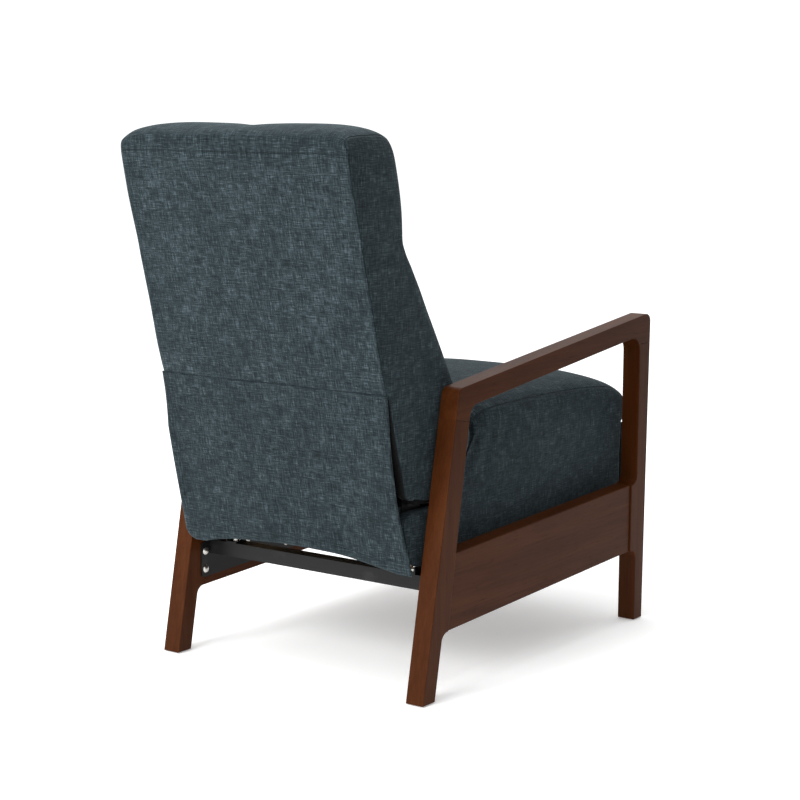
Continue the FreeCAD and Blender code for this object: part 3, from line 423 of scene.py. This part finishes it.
class Skin:
    """Outer surface of a block of cells: i counts across the chair, j from rear to front, k up.

    It has the points' (i, j, k), the quads, and for each quad the side of the block it is on.
    """

    RIGHT, LEFT, REAR, FRONT, BOTTOM, TOP = range(6)

    def __init__(self, across, deep, high):
        self.size = (across, deep, high)
        i, j, k = np.meshgrid(*(np.arange(n + 1) for n in self.size), indexing="ij")
        outside = (i == 0) | (i == across) | (j == 0) | (j == deep) | (k == 0) | (k == high)
        number = np.full(outside.shape, -1)
        number[outside] = np.arange(outside.sum())
        self.i, self.j, self.k = i[outside], j[outside], k[outside]
        sheets = (number[0], number[-1][:, ::-1], number[:, 0][:, ::-1], number[:, -1],
                  number[:, :, 0], number[:, :, -1][:, ::-1])
        quads = [np.stack([s[:-1, :-1], s[1:, :-1], s[1:, 1:], s[:-1, 1:]], -1).reshape(-1, 4)
                 for s in sheets]
        self.quads = np.concatenate(quads)
        self.side = np.concatenate([np.full(len(q), n) for n, q in enumerate(quads)])
        self.u = 2.0 * self.i / across - 1.0
        self.b = self.j / deep
        self.a = self.k / high
        self.end = (self.i == 0) | (self.i == across)
        self.rear, self.front = self.j == 0, self.j == deep
        self.bottom, self.top = self.k == 0, self.k == high
        self.wrap = self.rear | self.front | self.bottom | self.top

    def laid(self, grid, half):
        """Points on the side view's grid, spread across the chair to the half width."""
        yz = grid[self.j, self.k]
        return np.column_stack([self.u * half, yz])

    def girth(self, grid):
        """Distance round the side view from its lower rear corner, up the rear and over."""
        def run(line):
            return np.r_[0.0, np.cumsum(np.linalg.norm(np.diff(line, axis=0), axis=1))]

        rear, top, front, low = run(grid[0]), run(grid[:, -1]), run(grid[-1]), run(grid[:, 0])
        girth = np.zeros(len(self.i))
        girth[self.bottom] = -low[self.j[self.bottom]]
        girth[self.front] = rear[-1] + top[-1] + (front[-1] - front)[self.k[self.front]]
        girth[self.top] = rear[-1] + top[self.j[self.top]]
        girth[self.rear] = rear[self.k[self.rear]]
        return girth

    def cloth(self, points, girth):
        """Place on the cloth of each face corner: (y, z) on the ends, (x, girth) round the form."""
        flat = np.column_stack([points[:, 0], girth])
        corner = flat[self.quads]
        under = self.side == self.BOTTOM
        corner[under] = points[self.quads[under]][..., :2]
        ends = self.side <= self.LEFT
        corner[ends] = points[self.quads[ends]][..., 1:] + (7.3, 0.0)
        return corner

    def from_ends(self, grid, half):
        """Distance to the seam round each end of the form."""
        outline = np.concatenate([grid[0], grid[:, -1], grid[-1], grid[:, 0]])
        yz = grid[self.j, self.k]
        inward = np.array([np.linalg.norm(outline - p, axis=1).min() for p in yz[self.end]])
        away = (1.0 - np.abs(self.u)) * half
        away[self.end] = np.where(self.wrap[self.end], 0.0, inward)
        return away


def normals(points, quads):
    """Each point's outward normal, the sum of its quads' normals at unit length."""
    p = points[quads]
    face = np.cross(p[:, 2] - p[:, 0], p[:, 3] - p[:, 1])
    total = np.zeros_like(points)
    for c in range(4):
        np.add.at(total, quads[:, c], face)
    return total / np.maximum(np.linalg.norm(total, axis=1, keepdims=True), 1e-12)


def evened(field, quads, rounds):
    """A field on the points, averaged with its neighbours a number of times."""
    count = np.bincount(quads.ravel(), minlength=len(field)).astype(float)[:, None]
    for _ in range(rounds):
        middle = field[quads].mean(1)
        total = np.zeros_like(field)
        for c in range(4):
            np.add.at(total, quads[:, c], middle)
        field = total / count
    return field


def puffed(points, quads, held, reach, pressure=4.0):
    """Inflates a closed form as cloth and gives its points.

    held is how firmly each point is pinned, from 0 to 1. reach is the furthest it may move: the
    length of its move becomes reach times the hyperbolic tangent of length over reach.
    """
    obj = piece("puffing", points, quads, None)
    group = obj.vertex_groups.new(name="held")
    levels = np.round(held * 8.0) / 8.0
    for level in np.unique(levels):
        group.add(np.flatnonzero(levels == level).tolist(), float(level), "REPLACE")
    cloth = obj.modifiers.new("cloth", "CLOTH")
    settings = cloth.settings
    settings.quality = 5
    settings.mass = 0.3
    settings.tension_stiffness = settings.compression_stiffness = 18.0
    settings.shear_stiffness = 6.0
    settings.bending_stiffness = 0.8
    settings.shrink_min = -0.012
    settings.use_pressure = True
    settings.uniform_pressure_force = pressure
    settings.vertex_group_mass = "held"
    settings.effector_weights.gravity = 0.0
    cloth.collision_settings.use_collision = False
    cloth.point_cache.frame_start = 1
    cloth.point_cache.frame_end = 20
    for number in range(1, 21):
        scene.frame_set(number)
    result = obj.evaluated_get(bpy.context.evaluated_depsgraph_get())
    moved = np.empty(len(points) * 3, np.float32)
    result.data.vertices.foreach_get("co", moved)
    scene.frame_set(1)
    bpy.data.objects.remove(obj)
    move = evened(moved.reshape(-1, 3) - points, quads, 3)
    far = np.maximum(np.linalg.norm(move, axis=1), 1e-9)
    limit = np.maximum(reach, 1e-6)
    return points + move * (limit * np.tanh(far / limit) / far)[:, None]


def rounded(points, quads, share, rounds):
    """Rounds an edge off: each point goes its share of the way to its neighbours' mean, in rounds."""
    for _ in range(rounds):
        points = points + (evened(points, quads, 1) - points) * share[:, None]
    return points


def subdivided(obj):
    """One level of subdivision, applied."""
    modifier = obj.modifiers.new("subdivision", "SUBSURF")
    modifier.levels = modifier.render_levels = 1
    modifier.uv_smooth = "NONE"
    applied(obj)


def fold(yz, start, end, width):
    """1 on a line in the side view, falling to 0 across its width and at its two ends."""
    s, e = (np.array([HEEL + y / 1000.0, z / 1000.0]) for y, z in (start, end))
    run = e - s
    along = np.clip((yz - s) @ run / (run @ run), 0.0, 1.0)
    away = np.linalg.norm(yz - s - along[:, None] * run, axis=1)
    return np.exp(-((away / width) ** 2)) * np.sin(np.pi * np.clip(along, 0.03, 0.97)) ** 0.5


def crown(u, power):
    """Height of a stuffed surface across the chair: 1 in the middle, 0 at the seams."""
    return 1.0 - np.abs(u) ** power


# ---------------------------------------------------------------- upholstered back
def make_back(cloth_look, shade_lining):
    """One cover from the seam above the flap, up the rear, over the top and down the front.

    The front is pulled in between the head pillow and the lumbar cushion. Below the flap's seam
    the cover is open at the rear: there it goes up inside, in front of the webbing.
    """
    skin = Skin(66, 20, 84)
    rear = [(-30, 357), (-19, 361), (-14.6, 368), (-9, 390), (-0.5, 418), (8.5, 446), (20, 487), (32, 531),
            (41.5, 556), (66.5, 655), (92, 757), (117, 857), (135, 930), (141.5, 962), (143, 978)]
    front = [(-148, 340), (-191, 388), (-232, 435), (-236, 453), (-220, 476), (-186, 520), (-157, 565),
             (-125, 620), (-89, 680), (-57, 735), (-32, 775), (-19, 797), (-15, 815), (-13, 850),
             (-4, 900), (6, 940), (13, 968), (22, 984)]
    top = [(143, 978), (134, 986), (109, 988), (79, 989), (44, 989), (22, 984)]
    bottom = [(-30, 357), (-44, 352), (-80, 341), (-115, 339), (-148, 340)]
    grid = side_patch(rear, front, bottom, top, 20, 84)
    half = BACK_HALF - 0.0025
    points = skin.laid(grid, half)
    z = points[:, 2].copy()

    # The front bulges but at the notch, and its foot gives way to the seat's rear corners.
    swell = crown(skin.u, 4.0)
    points[:, 1] += np.where(skin.front | skin.end, 0.014 * skin.b**2 * (1.0 - swell)
                             * np.exp(-(((z - 0.455) / 0.045) ** 2)), 0.0)
    notch = np.exp(-(((z - NOTCH_HEIGHT) / 0.016) ** 2))
    lumbar = np.clip((z - 0.40) / 0.10, 0, 1) * np.clip((0.86 - z) / 0.08, 0, 1)
    fullness = np.where(z > NOTCH_HEIGHT, 0.015, 0.017 * lumbar)
    points[:, 1] -= np.where(skin.front, swell * fullness * (1.0 - 0.75 * notch), 0.0)

    # The top rises a little beside its middle and narrows towards its corners.
    rise = np.clip((skin.a - 0.93) / 0.07, 0.0, 1.0) ** 1.5
    dip = 0.0020 * np.exp(-((skin.u / 0.5) ** 2))
    points[:, 2] += np.where(skin.wrap & ~skin.bottom, rise * (0.0085 * crown(skin.u, 9.0) - dip), 0.0)
    narrowed = np.clip((points[:, 2] - 0.953) / 0.035, 0.0, 1.0) ** 2
    points[:, 0] *= 1.0 - 0.030 * narrowed

    ends = skin.from_ends(grid, half)
    girth = skin.girth(grid)
    rear_seam = girth[skin.rear & (skin.i == 0)][np.abs(grid[0, :, 1] - BAND_HEIGHT).argmin()]
    notch_seam = girth[skin.front & (skin.i == 0)][np.abs(grid[-1, :, 1] - NOTCH_HEIGHT).argmin()]
    seam = np.minimum(ends, np.abs(girth - rear_seam) + np.where(skin.rear, 0.0, 1.0))
    seam = np.minimum(seam, np.abs(girth - notch_seam) + np.where(skin.front, 0.0, 1.0))

    held = np.zeros(len(points))
    held[skin.rear | skin.bottom] = 1.0
    held[skin.rear & (z > 0.93) & (z < 0.97)] = 0.5
    held[skin.front & (np.abs(z - NOTCH_HEIGHT) < 0.008)] = 0.9
    held[(skin.front | skin.top) & skin.end] = 0.7
    held[z < 0.38] = 1.0
    reach = np.where(skin.end & ~skin.wrap, 0.0035, 0.012)
    points = puffed(points, skin.quads, held, reach)

    # The edges are rounded over, apart from those in the rear panel's plane.
    soft = np.exp(-((ends / 0.022) ** 2)) * np.where(skin.front | skin.end | skin.top, 1.0, 0.0)
    behind_plane = points[:, 1] - HEEL - PLANE_FOOT - PLANE_SLOPE * z
    soft *= np.clip((behind_plane + 0.025) / -0.02, 0.0, 1.0)
    soft = np.maximum(soft, np.where(skin.top, np.exp(-((ends / 0.03) ** 2)), 0.0))
    points = rounded(points, skin.quads, soft, 5)
    yz = points[:, 1:]
    out = normals(points, skin.quads)
    dents = (0.0020 * fold(yz, (-20, 799), (40, 812), 0.010)
             + 0.0016 * fold(yz, (-30, 790), (10, 745), 0.012)
             + 0.0014 * fold(yz, (-150, 560), (-70, 560), 0.014)
             + 0.0016 * fold(yz, (-215, 470), (-120, 500), 0.012))
    x = points[:, 0]
    lumps = 0.0011 * np.sin(yz[:, 1] * 37.0 + 3.0 * x) * np.sin(x * 23.0 + yz[:, 1] * 9.0)
    points += out * (np.where(skin.end, -dents, 0.0) + np.where(skin.rear, lumps + 0.001, 0.0))[:, None]

    # A row lies on the flap's seam. Below it the cover wraps the posts and goes up inside.
    seam_row = np.abs(grid[0, :, 1] - seam_z).argmin()
    at_seam = skin.rear & (skin.k == seam_row)
    points[at_seam, 1:] = (seam_y, seam_z - 0.0008)
    points[skin.rear & (skin.k == seam_row - 1), 2] = seam_z - 0.0012
    open_rear = skin.rear & (skin.k < seam_row) | skin.bottom
    column = np.minimum(skin.i, skin.size[0] - skin.i)
    post_face = np.sign(points[:, 0]) * POST_INNER
    frame_face = np.interp(points[:, 2], [BACK_FOOT, seam_z], [HEEL - 0.1000, HEEL - 0.0272])
    points[open_rear & (column == 3), 0] = post_face[open_rear & (column == 3)]
    points[open_rear & (column == 4), 0] = post_face[open_rear & (column == 4)] * 0.9992
    deep = open_rear & (column >= 4)
    points[deep & skin.rear, 1] = frame_face[deep & skin.rear]
    points[deep & skin.bottom, 1] = (HEEL - 0.100 - 0.048 * skin.b)[deep & skin.bottom]
    # Painted shade: the band above the rear seam and the top, which face up to the light, are darkened.
    nap = (skin.rear & (girth > rear_seam) | skin.top) * 1.0
    obj = piece("back_upholstery", points, skin.quads, cloth_look, skin.cloth(points, girth), seam, nap)
    # The rear faces below the flap's seam and the underside get the black lining: painted shade for the dark
    # inside seen in the gaps.
    below_seam = skin.k[skin.quads].max(1) <= seam_row
    given_shade_lining(obj, (skin.side == Skin.REAR) & below_seam | (skin.side == Skin.BOTTOM), shade_lining)
    subdivided(obj)
    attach(obj, "back")
    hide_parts("back_cushion", "head_cushion", "back_rear_panel", "back_border")


# ---------------------------------------------------------------- upholstered seat
def make_seat(cloth_look, shade_lining):
    """Seat cushion whose side cloth runs down over the rails, open underneath over the springs."""
    skin = Skin(64, 76, 34)
    rear = [(-132, 232), (-132.5, 290), (-137, 326), (-151, 345), (-200, 399), (-246, 450), (-243, 468)]
    front = [(-757, 232), (-757, 300), (-757, 388), (-759, 400), (-770, 403), (-777, 415), (-775, 436)]
    top = [(-243, 468), (-256, 483), (-290, 489), (-350, 491), (-450, 492), (-522, 491), (-600, 488),
           (-675, 482), (-730, 473), (-762, 460), (-775, 436)]
    grid = side_patch(rear, front, [(-132, 232), (-757, 232)], top, 76, 34)
    half = SEAT_HALF - 0.0015
    points = skin.laid(grid, half)
    y, z = points[:, 1] - HEEL, points[:, 2].copy()
    behind = np.clip((y + 0.300) / 0.055, 0.0, 1.0) * np.clip((z - 0.40) / 0.05, 0.0, 1.0)
    points[:, 1] += 0.014 * behind * (1.0 - crown(skin.u, 4.0))
    swell = crown(skin.u, 3.0)
    points[:, 2] += np.where(skin.top, swell * 0.017 * np.clip((0.79 + y) / 0.12, 0.0, 1.0) ** 0.6, 0.0)
    above_pad = np.clip((z - 0.40) / 0.02, 0, 1)
    points[:, 1] -= np.where(skin.front, crown(skin.u, 6.0) * 0.003 * above_pad, 0.0)
    ends = skin.from_ends(grid, half)
    girth = skin.girth(grid)
    seam = np.where(skin.bottom, 0.05, ends)
    held = np.zeros(len(points))
    held[skin.bottom] = 1.0
    held[skin.rear] = 1.0
    held[skin.front & (z < 0.405)] = 1.0
    held[skin.end & (z < 0.34)] = 1.0
    held[(skin.front | skin.top) & skin.end] = 0.5
    reach = np.where(skin.end & ~skin.wrap, 0.0045, 0.012)
    points = puffed(points, skin.quads, held, reach)

    # The edge between the top and the sides is rounded over.
    below_top = (1.0 - skin.a) * 0.23
    soft = np.exp(-((np.where(skin.top, ends, below_top) / 0.024) ** 2))
    soft = np.where(skin.end | skin.top, soft, 0.0) * np.clip((y + 0.775) / 0.03, 0.0, 1.0)
    points = rounded(points, skin.quads, soft, 7)
    yz = points[:, 1:]
    out = normals(points, skin.quads)
    dents = (0.0030 * fold(yz, (-262, 470), (-215, 395), 0.010)
             + 0.0022 * fold(yz, (-300, 470), (-250, 380), 0.013)
             + 0.0015 * fold(yz, (-360, 478), (-300, 400), 0.014)
             + 0.0012 * fold(yz, (-700, 440), (-640, 400), 0.013))
    points += out * np.where(skin.end, -dents, 0.0)[:, None]

    # Underneath, the cloth stays at the sides and the front, and the middle lies over the rails.
    column = np.minimum(skin.i, skin.size[0] - skin.i)
    row = skin.size[1] - skin.j
    side_edge = np.sign(points[:, 0]) * 0.2496
    front_low = 0.276                         # the front cloth's lower edge between the rails
    low = skin.bottom
    points[low & (column >= 1), 2] = CLOTH_LOW
    points[low & (column == 1), 0] = side_edge[low & (column == 1)]
    points[low & (column == 2), 0] = side_edge[low & (column == 2)] * 0.9996
    points[low & (column >= 2), 2] = RAIL_TOP
    middle = np.clip((0.246 - np.abs(points[:, 0])) / 0.010, 0.0, 1.0)
    ramped = skin.front & (points[:, 2] < 0.40)
    lift = front_low + (points[:, 2] - CLOTH_LOW) * (0.40 - front_low) / (0.40 - CLOTH_LOW)
    points[ramped, 2] += ((lift - points[:, 2]) * middle)[ramped]
    points[skin.front & low & (column >= 2), 2] = front_low
    inner = low & (column >= 2)
    points[inner & (row == 1), 1] = HEEL - 0.7538
    points[inner & (row == 1), 2] = front_low
    points[inner & (row == 2), 1] = HEEL - 0.7536
    obj = piece("seat_upholstery", points, skin.quads, cloth_look, skin.cloth(points, girth), seam)
    # The underside, but for its outer column, gets the black lining, whose near-black colour is also painted shade
    # for the dark underneath.
    given_shade_lining(obj, (skin.side == Skin.BOTTOM) & (column[skin.quads].min(1) >= 1), shade_lining)
    subdivided(obj)
    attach(obj, "seat")
    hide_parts("seat_cushion", "seat_cover")


def make_rail_cover(name, sign, cloth_look):
    """Cloth round the rear end of a side rail, level with the side of the seat."""
    skin = Skin(8, 22, 22)
    rear = [(-52, 234), (-42, 238), (-34, 252), (-26, 290), (-21, 312), (-26, 325)]
    grid = side_patch(rear, [(-140, 232), (-140, 329.5)], [(-52, 234), (-90, 232), (-140, 232)],
                      [(-26, 325), (-36, 329.5), (-90, 330), (-140, 329.5)], 22, 22)
    points = skin.laid(grid, 1.0)
    outer = (skin.u * sign + 1.0) / 2.0
    near_end = np.clip(1.0 - skin.b * 0.110 / 0.012, 0.0, 1.0)
    near_top = np.clip(1.0 - (1.0 - skin.a) * 0.095 / 0.010, 0.0, 1.0)
    rounded = 0.0030 * np.maximum(near_end**2, near_top**2) * (outer > 0.99)
    points[:, 0] = sign * (0.2293 + outer * (SEAT_HALF - 0.2293) - rounded)
    points[:, 2] -= np.where(skin.top, 0.0016 * near_end, 0.0)
    seam = np.where(skin.front | skin.bottom, 0.0, skin.from_ends(grid, 0.0115) + 0.004)
    obj = piece(name, points, skin.quads, cloth_look, skin.cloth(points, skin.girth(grid)), seam)
    subdivided(obj)
    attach(obj, "seat")
    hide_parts("seat_cover")


# ---------------------------------------------------------------- footrest
def make_footrest(cloth_look):
    """Pad over the board's front and edges, with its side cloth sewn on."""
    low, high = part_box("footrest_pad")
    skin = Skin(62, 6, 24)
    y0, y1 = (low.y - HEEL) * 1000.0, (high.y - HEEL) * 1000.0
    z0, z1 = low.z * 1000.0, high.z * 1000.0
    rear = [(y1, z0 + 2), (y1, z1 - 2)]
    front = [(y0 + 9, z0 + 9), (y0 + 4, z0 + 40), (y0 + 3, (z0 + z1) / 2), (y0 + 4, z1 - 40),
             (y0 + 9, z1 - 9)]
    grid = side_patch(rear, front, [(y1, z0 + 2), (y1 - 14, z0 + 1), (y0 + 9, z0 + 9)],
                      [(y1, z1 - 2), (y1 - 14, z1 - 1), (y0 + 9, z1 - 9)], 6, 24)
    half = high.x - 0.0015
    points = skin.laid(grid, half)
    points[:, 1] -= np.where(skin.front, 0.002 * crown(skin.u, 6.0), 0.0)
    seam = np.where(skin.rear, 0.05, skin.from_ends(grid, half))
    held = np.where(skin.rear, 1.0, 0.0)
    held[skin.end & skin.wrap] = 0.85
    points = puffed(points, skin.quads, held, np.where(skin.end & ~skin.wrap, 0.0015, 0.0035))
    obj = piece("footrest_upholstery", points, skin.quads, cloth_look,
                skin.cloth(points, skin.girth(grid)), seam)
    subdivided(obj)
    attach(obj, "footrest")
    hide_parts("footrest_pad")


# ---------------------------------------------------------------- rear flap
def make_flap(cloth_look):
    """Cloth that hangs from the seam in the rear panel's plane, with an arched hem.

    Width and drop are a grid (u, t). The hem rises by 22 mm in the middle as a parabola. The left
    edge is straight and its lower corner is a quarter round. The right edge draws in between the
    seam and the hem, and its lower corner is a point. Shallow waves grow to the hem.
    """
    columns, rows = 120, 78
    u, t = np.meshgrid(np.linspace(-1.0, 1.0, columns + 1), np.linspace(0.0, 1.0, rows + 1), indexing="ij")
    hem = HEM_HEIGHT + 0.022 * np.clip(1.0 - (u * FLAP_HALF / 0.2346) ** 2, 0.0, 1.0)
    start = seam_z + 0.004
    z = start + (hem - start) * t
    # The right edge: heights and half widths.
    edge_heights = [0.222, 0.244, 0.280, 0.326, 0.361, 0.417, 0.470, 0.533, 0.560]
    edge_widths = [0.2640, 0.2605, 0.2558, 0.2520, 0.2508, 0.2512, 0.2528, 0.2575, 0.2585]
    half = np.interp(z, edge_heights, edge_widths)
    straight = (FLAP_HALF - half) * np.clip((t - 0.02) / 0.3, 0.0, 1.0)
    half = half + np.where(u > 0.0, straight, 0.0)
    corner = np.clip(1.0 - (z - HEM_HEIGHT) / 0.024, 0.0, 1.0)
    corner_radius = np.where(u > 0.0, 0.024, 0.003)
    half = half - corner_radius * (1.0 - np.sqrt(1.0 - corner**2 * 0.985))
    x = u * half
    wave = (0.0022 * np.sin(x * 21.0 + 0.7) + 0.0014 * np.sin(x * 47.0 + z * 16.0)) * t**1.3
    edge = np.clip((np.abs(u) - 0.90) / 0.10, 0.0, 1.0)
    curl = 0.0035 * edge**2 * np.sin(np.pi * np.clip((t - 0.1) / 0.9, 0.0, 1.0))
    y = HEEL + PLANE_FOOT + PLANE_SLOPE * z + 0.0006 + wave + curl * 0.6
    points = np.stack([x, y, z], -1).reshape(-1, 3)
    quads = grid_quads(u.shape)
    length = math.hypot(1.0, PLANE_SLOPE)
    place = np.stack([x, z * length], -1).reshape(-1, 2)
    hem_line = np.abs((z - hem) - 0.016)
    side_line = np.abs((half - np.abs(x)) - 0.014) + np.where(t > 0.08, 0.0, 0.05)
    seam = np.minimum(np.minimum(hem_line, side_line) + 0.0004, np.abs(t) * 0.32).ravel()
    # The whole flap is darkened with painted shade, at 0.8 of the full amount.
    obj = piece("rear_flap_cloth", points, quads, cloth_look, place[quads], seam, np.full(len(points), 0.8))
    thickened(obj, 0.0026)
    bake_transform(obj)
    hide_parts("rear_flap")


# ---------------------------------------------------------------- springs and webbing
def make_springs(steel):
    """Five sinuous springs: runs across of 16 mm joined by half circles of 12 mm radius."""
    low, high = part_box("seat_springs")
    wire, bend, sides = 0.0018, 0.012, 8
    runs = round((high.y - low.y - 2 * wire) / (2 * bend)) + 1
    height = (low.z + high.z) / 2.0
    reach = (high.x - wire) - 0.020
    number = np.arange(runs)
    steps = 9
    angle = np.linspace(0.0, np.pi, steps)
    way = np.where(number % 2 == 0, 1.0, -1.0)[:, None]
    x = way * (0.008 + bend * np.sin(angle))[None]
    y = low.y + wire + (number * 2 * bend)[:, None] + bend * (1.0 - np.cos(angle))[None]
    x, y = x[:-1].ravel(), y[:-1].ravel()
    x, y = np.r_[-0.008, x, way[-1, 0] * 0.008], np.r_[low.y + wire, y, high.y - wire]
    path = np.column_stack([x, y])
    ahead = np.gradient(path, axis=0)
    ahead /= np.linalg.norm(ahead, axis=1, keepdims=True)
    turn = np.linspace(0.0, 2.0 * np.pi, sides, endpoint=False)
    side = np.column_stack([-ahead[:, 1], ahead[:, 0]])
    ring = path[:, None] + wire * np.cos(turn)[None, :, None] * side[:, None]
    up = np.broadcast_to(height + wire * np.sin(turn), ring.shape[:2])
    one = np.dstack([ring, up]).reshape(-1, 3)
    n = np.arange(len(path) - 1)[:, None] * sides
    a, b = np.arange(sides)[None], (np.arange(sides)[None] + 1) % sides
    quads = np.stack([n + a, n + b, n + sides + b, n + sides + a], -1).reshape(-1, 4)
    first = np.arange(sides)[::-1].tolist()
    last = (np.arange(sides) + (len(path) - 1) * sides).tolist()
    points, faces = [], []
    for place in np.linspace(-reach, reach, 5):
        start = sum(len(p) for p in points)
        points.append(one + (place, 0.0, 0.0))
        faces += (quads + start).tolist() + [[start + v for v in first], [start + v for v in last]]
    obj = piece("seat_spring_wires", np.concatenate(points), faces, steel)
    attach(obj, "seat")
    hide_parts("seat_springs")


def make_webbing(strap_look):
    """Five straps up the front of the back frame, each 50 mm wide and 1.8 mm thick."""
    low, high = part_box("back_webbing")
    middles = np.linspace(low.x + 0.025, high.x - 0.025, 5)
    columns, rows = 10, 60
    u, t = np.meshgrid(np.linspace(-1.0, 1.0, columns + 1), np.linspace(0.0, 1.0, rows + 1), indexing="ij")
    z = low.z + (high.z - low.z) * t
    frame_depth = 0.064
    at_seam = PLANE_FOOT + PLANE_SLOPE * seam_z - frame_depth
    face = np.where(z >= seam_z, PLANE_FOOT + PLANE_SLOPE * z - frame_depth,
                    np.interp(z, [BACK_FOOT, seam_z], [-0.097, at_seam]))
    quads = grid_quads(u.shape)
    points, faces, edges, corners = [], [], [], []
    for order, middle in enumerate(middles):
        x = middle + u * 0.025
        points.append(np.stack([x, HEEL + face - 0.0001, z], -1).reshape(-1, 3))
        faces.append(quads + order * u.size)
        edges.append(((1.0 - np.abs(u)) * 0.025).ravel())
        corners.append(np.stack([x, z], -1).reshape(-1, 2)[quads])
    obj = piece("back_webbing_straps", np.concatenate(points), np.concatenate(faces), strap_look,
                np.concatenate(corners), np.concatenate(edges))
    thickened(obj, 0.0018)
    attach(obj, "back")
    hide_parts("back_webbing")


# ---------------------------------------------------------------- finishes
def finish_frame_parts(shade_lining):
    """Gives every CAD part that shows its finish, with the grain along its own length.

    The back's posts are wrapped in the black lining, whose near-black colour is painted shade for the dark gaps
    beside them.
    """
    upright, lengthwise = stained_wood("walnut_upright", "z"), stained_wood("walnut_lengthwise", "y")
    rail_x, rail_y = (bare_wood(f"frame_timber_{axis}", axis) for axis in "xy")
    zinc = zinc_plate("zinc_plating")
    by_slot = {"black_steel": powder_coat("black_powder_coat"), "zinc": zinc,
               "glide": moulded_nylon("black_nylon")}
    slots = {part["node"]: part["material_slot"] for part in frame["record"]["subparts"]}
    for name, node in frame["nodes"].items():
        slot = slots[name]
        if slot == "show_wood":
            material = upright if "leg" in name else lengthwise
        elif slot == "frame_wood":
            along = "y" if "side_rail" in name else "x"
            # The back's posts get the black lining as painted shade; the other frame timber stays bare.
            material = shade_lining if "post" in name else {"x": rail_x, "y": rail_y}[along]
        else:
            material = by_slot.get(slot)
        if material is not None:
            for place in range(len(node.data.materials)):
                node.data.materials[place] = material
    return zinc


# ---------------------------------------------------------------- studio
def make_floor():
    """Pale floor that gives off a little light, so that shadows stay soft."""
    look = Look("pale_floor", Specular_IOR_Level=0.0, Emission_Strength=0.27)
    look.shader.inputs["Emission Color"].default_value = (1.0, 1.0, 1.0, 1.0)
    grain = look.noise(look.object_place(), (3.0, 3.0, 3.0), 3.0)
    colour = look.mixed(grain, (0.90, 0.90, 0.90), (0.93, 0.93, 0.93))
    look.feed(Base_Color=colour, Roughness=0.85 + grain * 0.1)
    size = 9.0
    corners = [(-size, -size, 0), (size, -size, 0), (size, size, 0), (-size, size, 0)]
    piece("studio_floor", corners, [(0, 1, 2, 3)], look.material)


def make_flag():
    """Grey card on the chair's right, out of the camera's sight: it shades that side."""
    look = Look("grey_card", Roughness=1.0, Specular_IOR_Level=0.0)
    grain = look.noise(look.object_place(), (2.0, 2.0, 2.0))
    look.feed(Base_Color=look.mixed(grain, (0.16, 0.16, 0.16), (0.20, 0.20, 0.20)))
    x, front, rear, low, high = -1.7, -2.4, 1.5, 0.02, 2.4
    corners = [(x, front, low), (x, rear, low), (x, rear, high), (x, front, high)]
    flag = piece("studio_flag", corners, [(0, 1, 2, 3)], look.material)
    flag.visible_camera = False


def make_lights():
    """White surroundings, a large soft key light behind the chair and a top light."""
    world = bpy.data.worlds.new("white_studio")
    world.use_nodes = True
    background = world.node_tree.nodes["Background"]
    background.inputs["Color"].default_value = (1.0, 1.0, 1.0, 1.0)
    background.inputs["Strength"].default_value = 1.12
    scene.world = world
    lights = (("key", (0.5, 3.9, 2.6), 2.4, 150.0), ("top", (0.2, -0.3, 3.2), 3.0, 25.0))
    for name, place, size, power in lights:
        lamp = bpy.data.lights.new(name, "AREA")
        lamp.shape = "DISK"
        lamp.size = size
        lamp.energy = power
        obj = bpy.data.objects.new(name, lamp)
        scene.collection.objects.link(obj)
        obj.location = place
        obj.rotation_euler = (Vector((0.0, 0.0, 0.5)) - obj.location).to_track_quat("-Z", "Y").to_euler()


def make_camera():
    """Camera behind the chair on its right, a little above the seat's height, looking down."""
    camera = bpy.data.cameras.new("camera")
    camera.sensor_width = 36.0
    camera.lens = 90.57
    camera.clip_end = 60.0
    obj = bpy.data.objects.new("camera", camera)
    scene.collection.objects.link(obj)
    obj.location = (-2.2791, HEEL + 2.7328, 1.0598)
    obj.rotation_euler = Vector((0.588, -0.7945, -0.152)).to_track_quat("-Z", "Y").to_euler()
    scene.camera = obj
    scene.view_settings.view_transform = "Standard"


cover = chenille("slate_chenille")
make_floor()
make_flag()
make_lights()
make_camera()
# Black lining, near black as painted shade for the dark inside of the upholstery.
shade_black_lining = lining_painted_shade_look("black_lining")
zinc_finish = finish_frame_parts(shade_black_lining)
make_back(cover, shade_black_lining)
make_seat(cover, shade_black_lining)
make_rail_cover("seat_rail_cover_left", 1.0, cover)
make_rail_cover("seat_rail_cover_right", -1.0, cover)
make_footrest(cover)
make_flap(cover)
make_springs(zinc_finish)
make_webbing(woven_strap("elastic_webbing"))
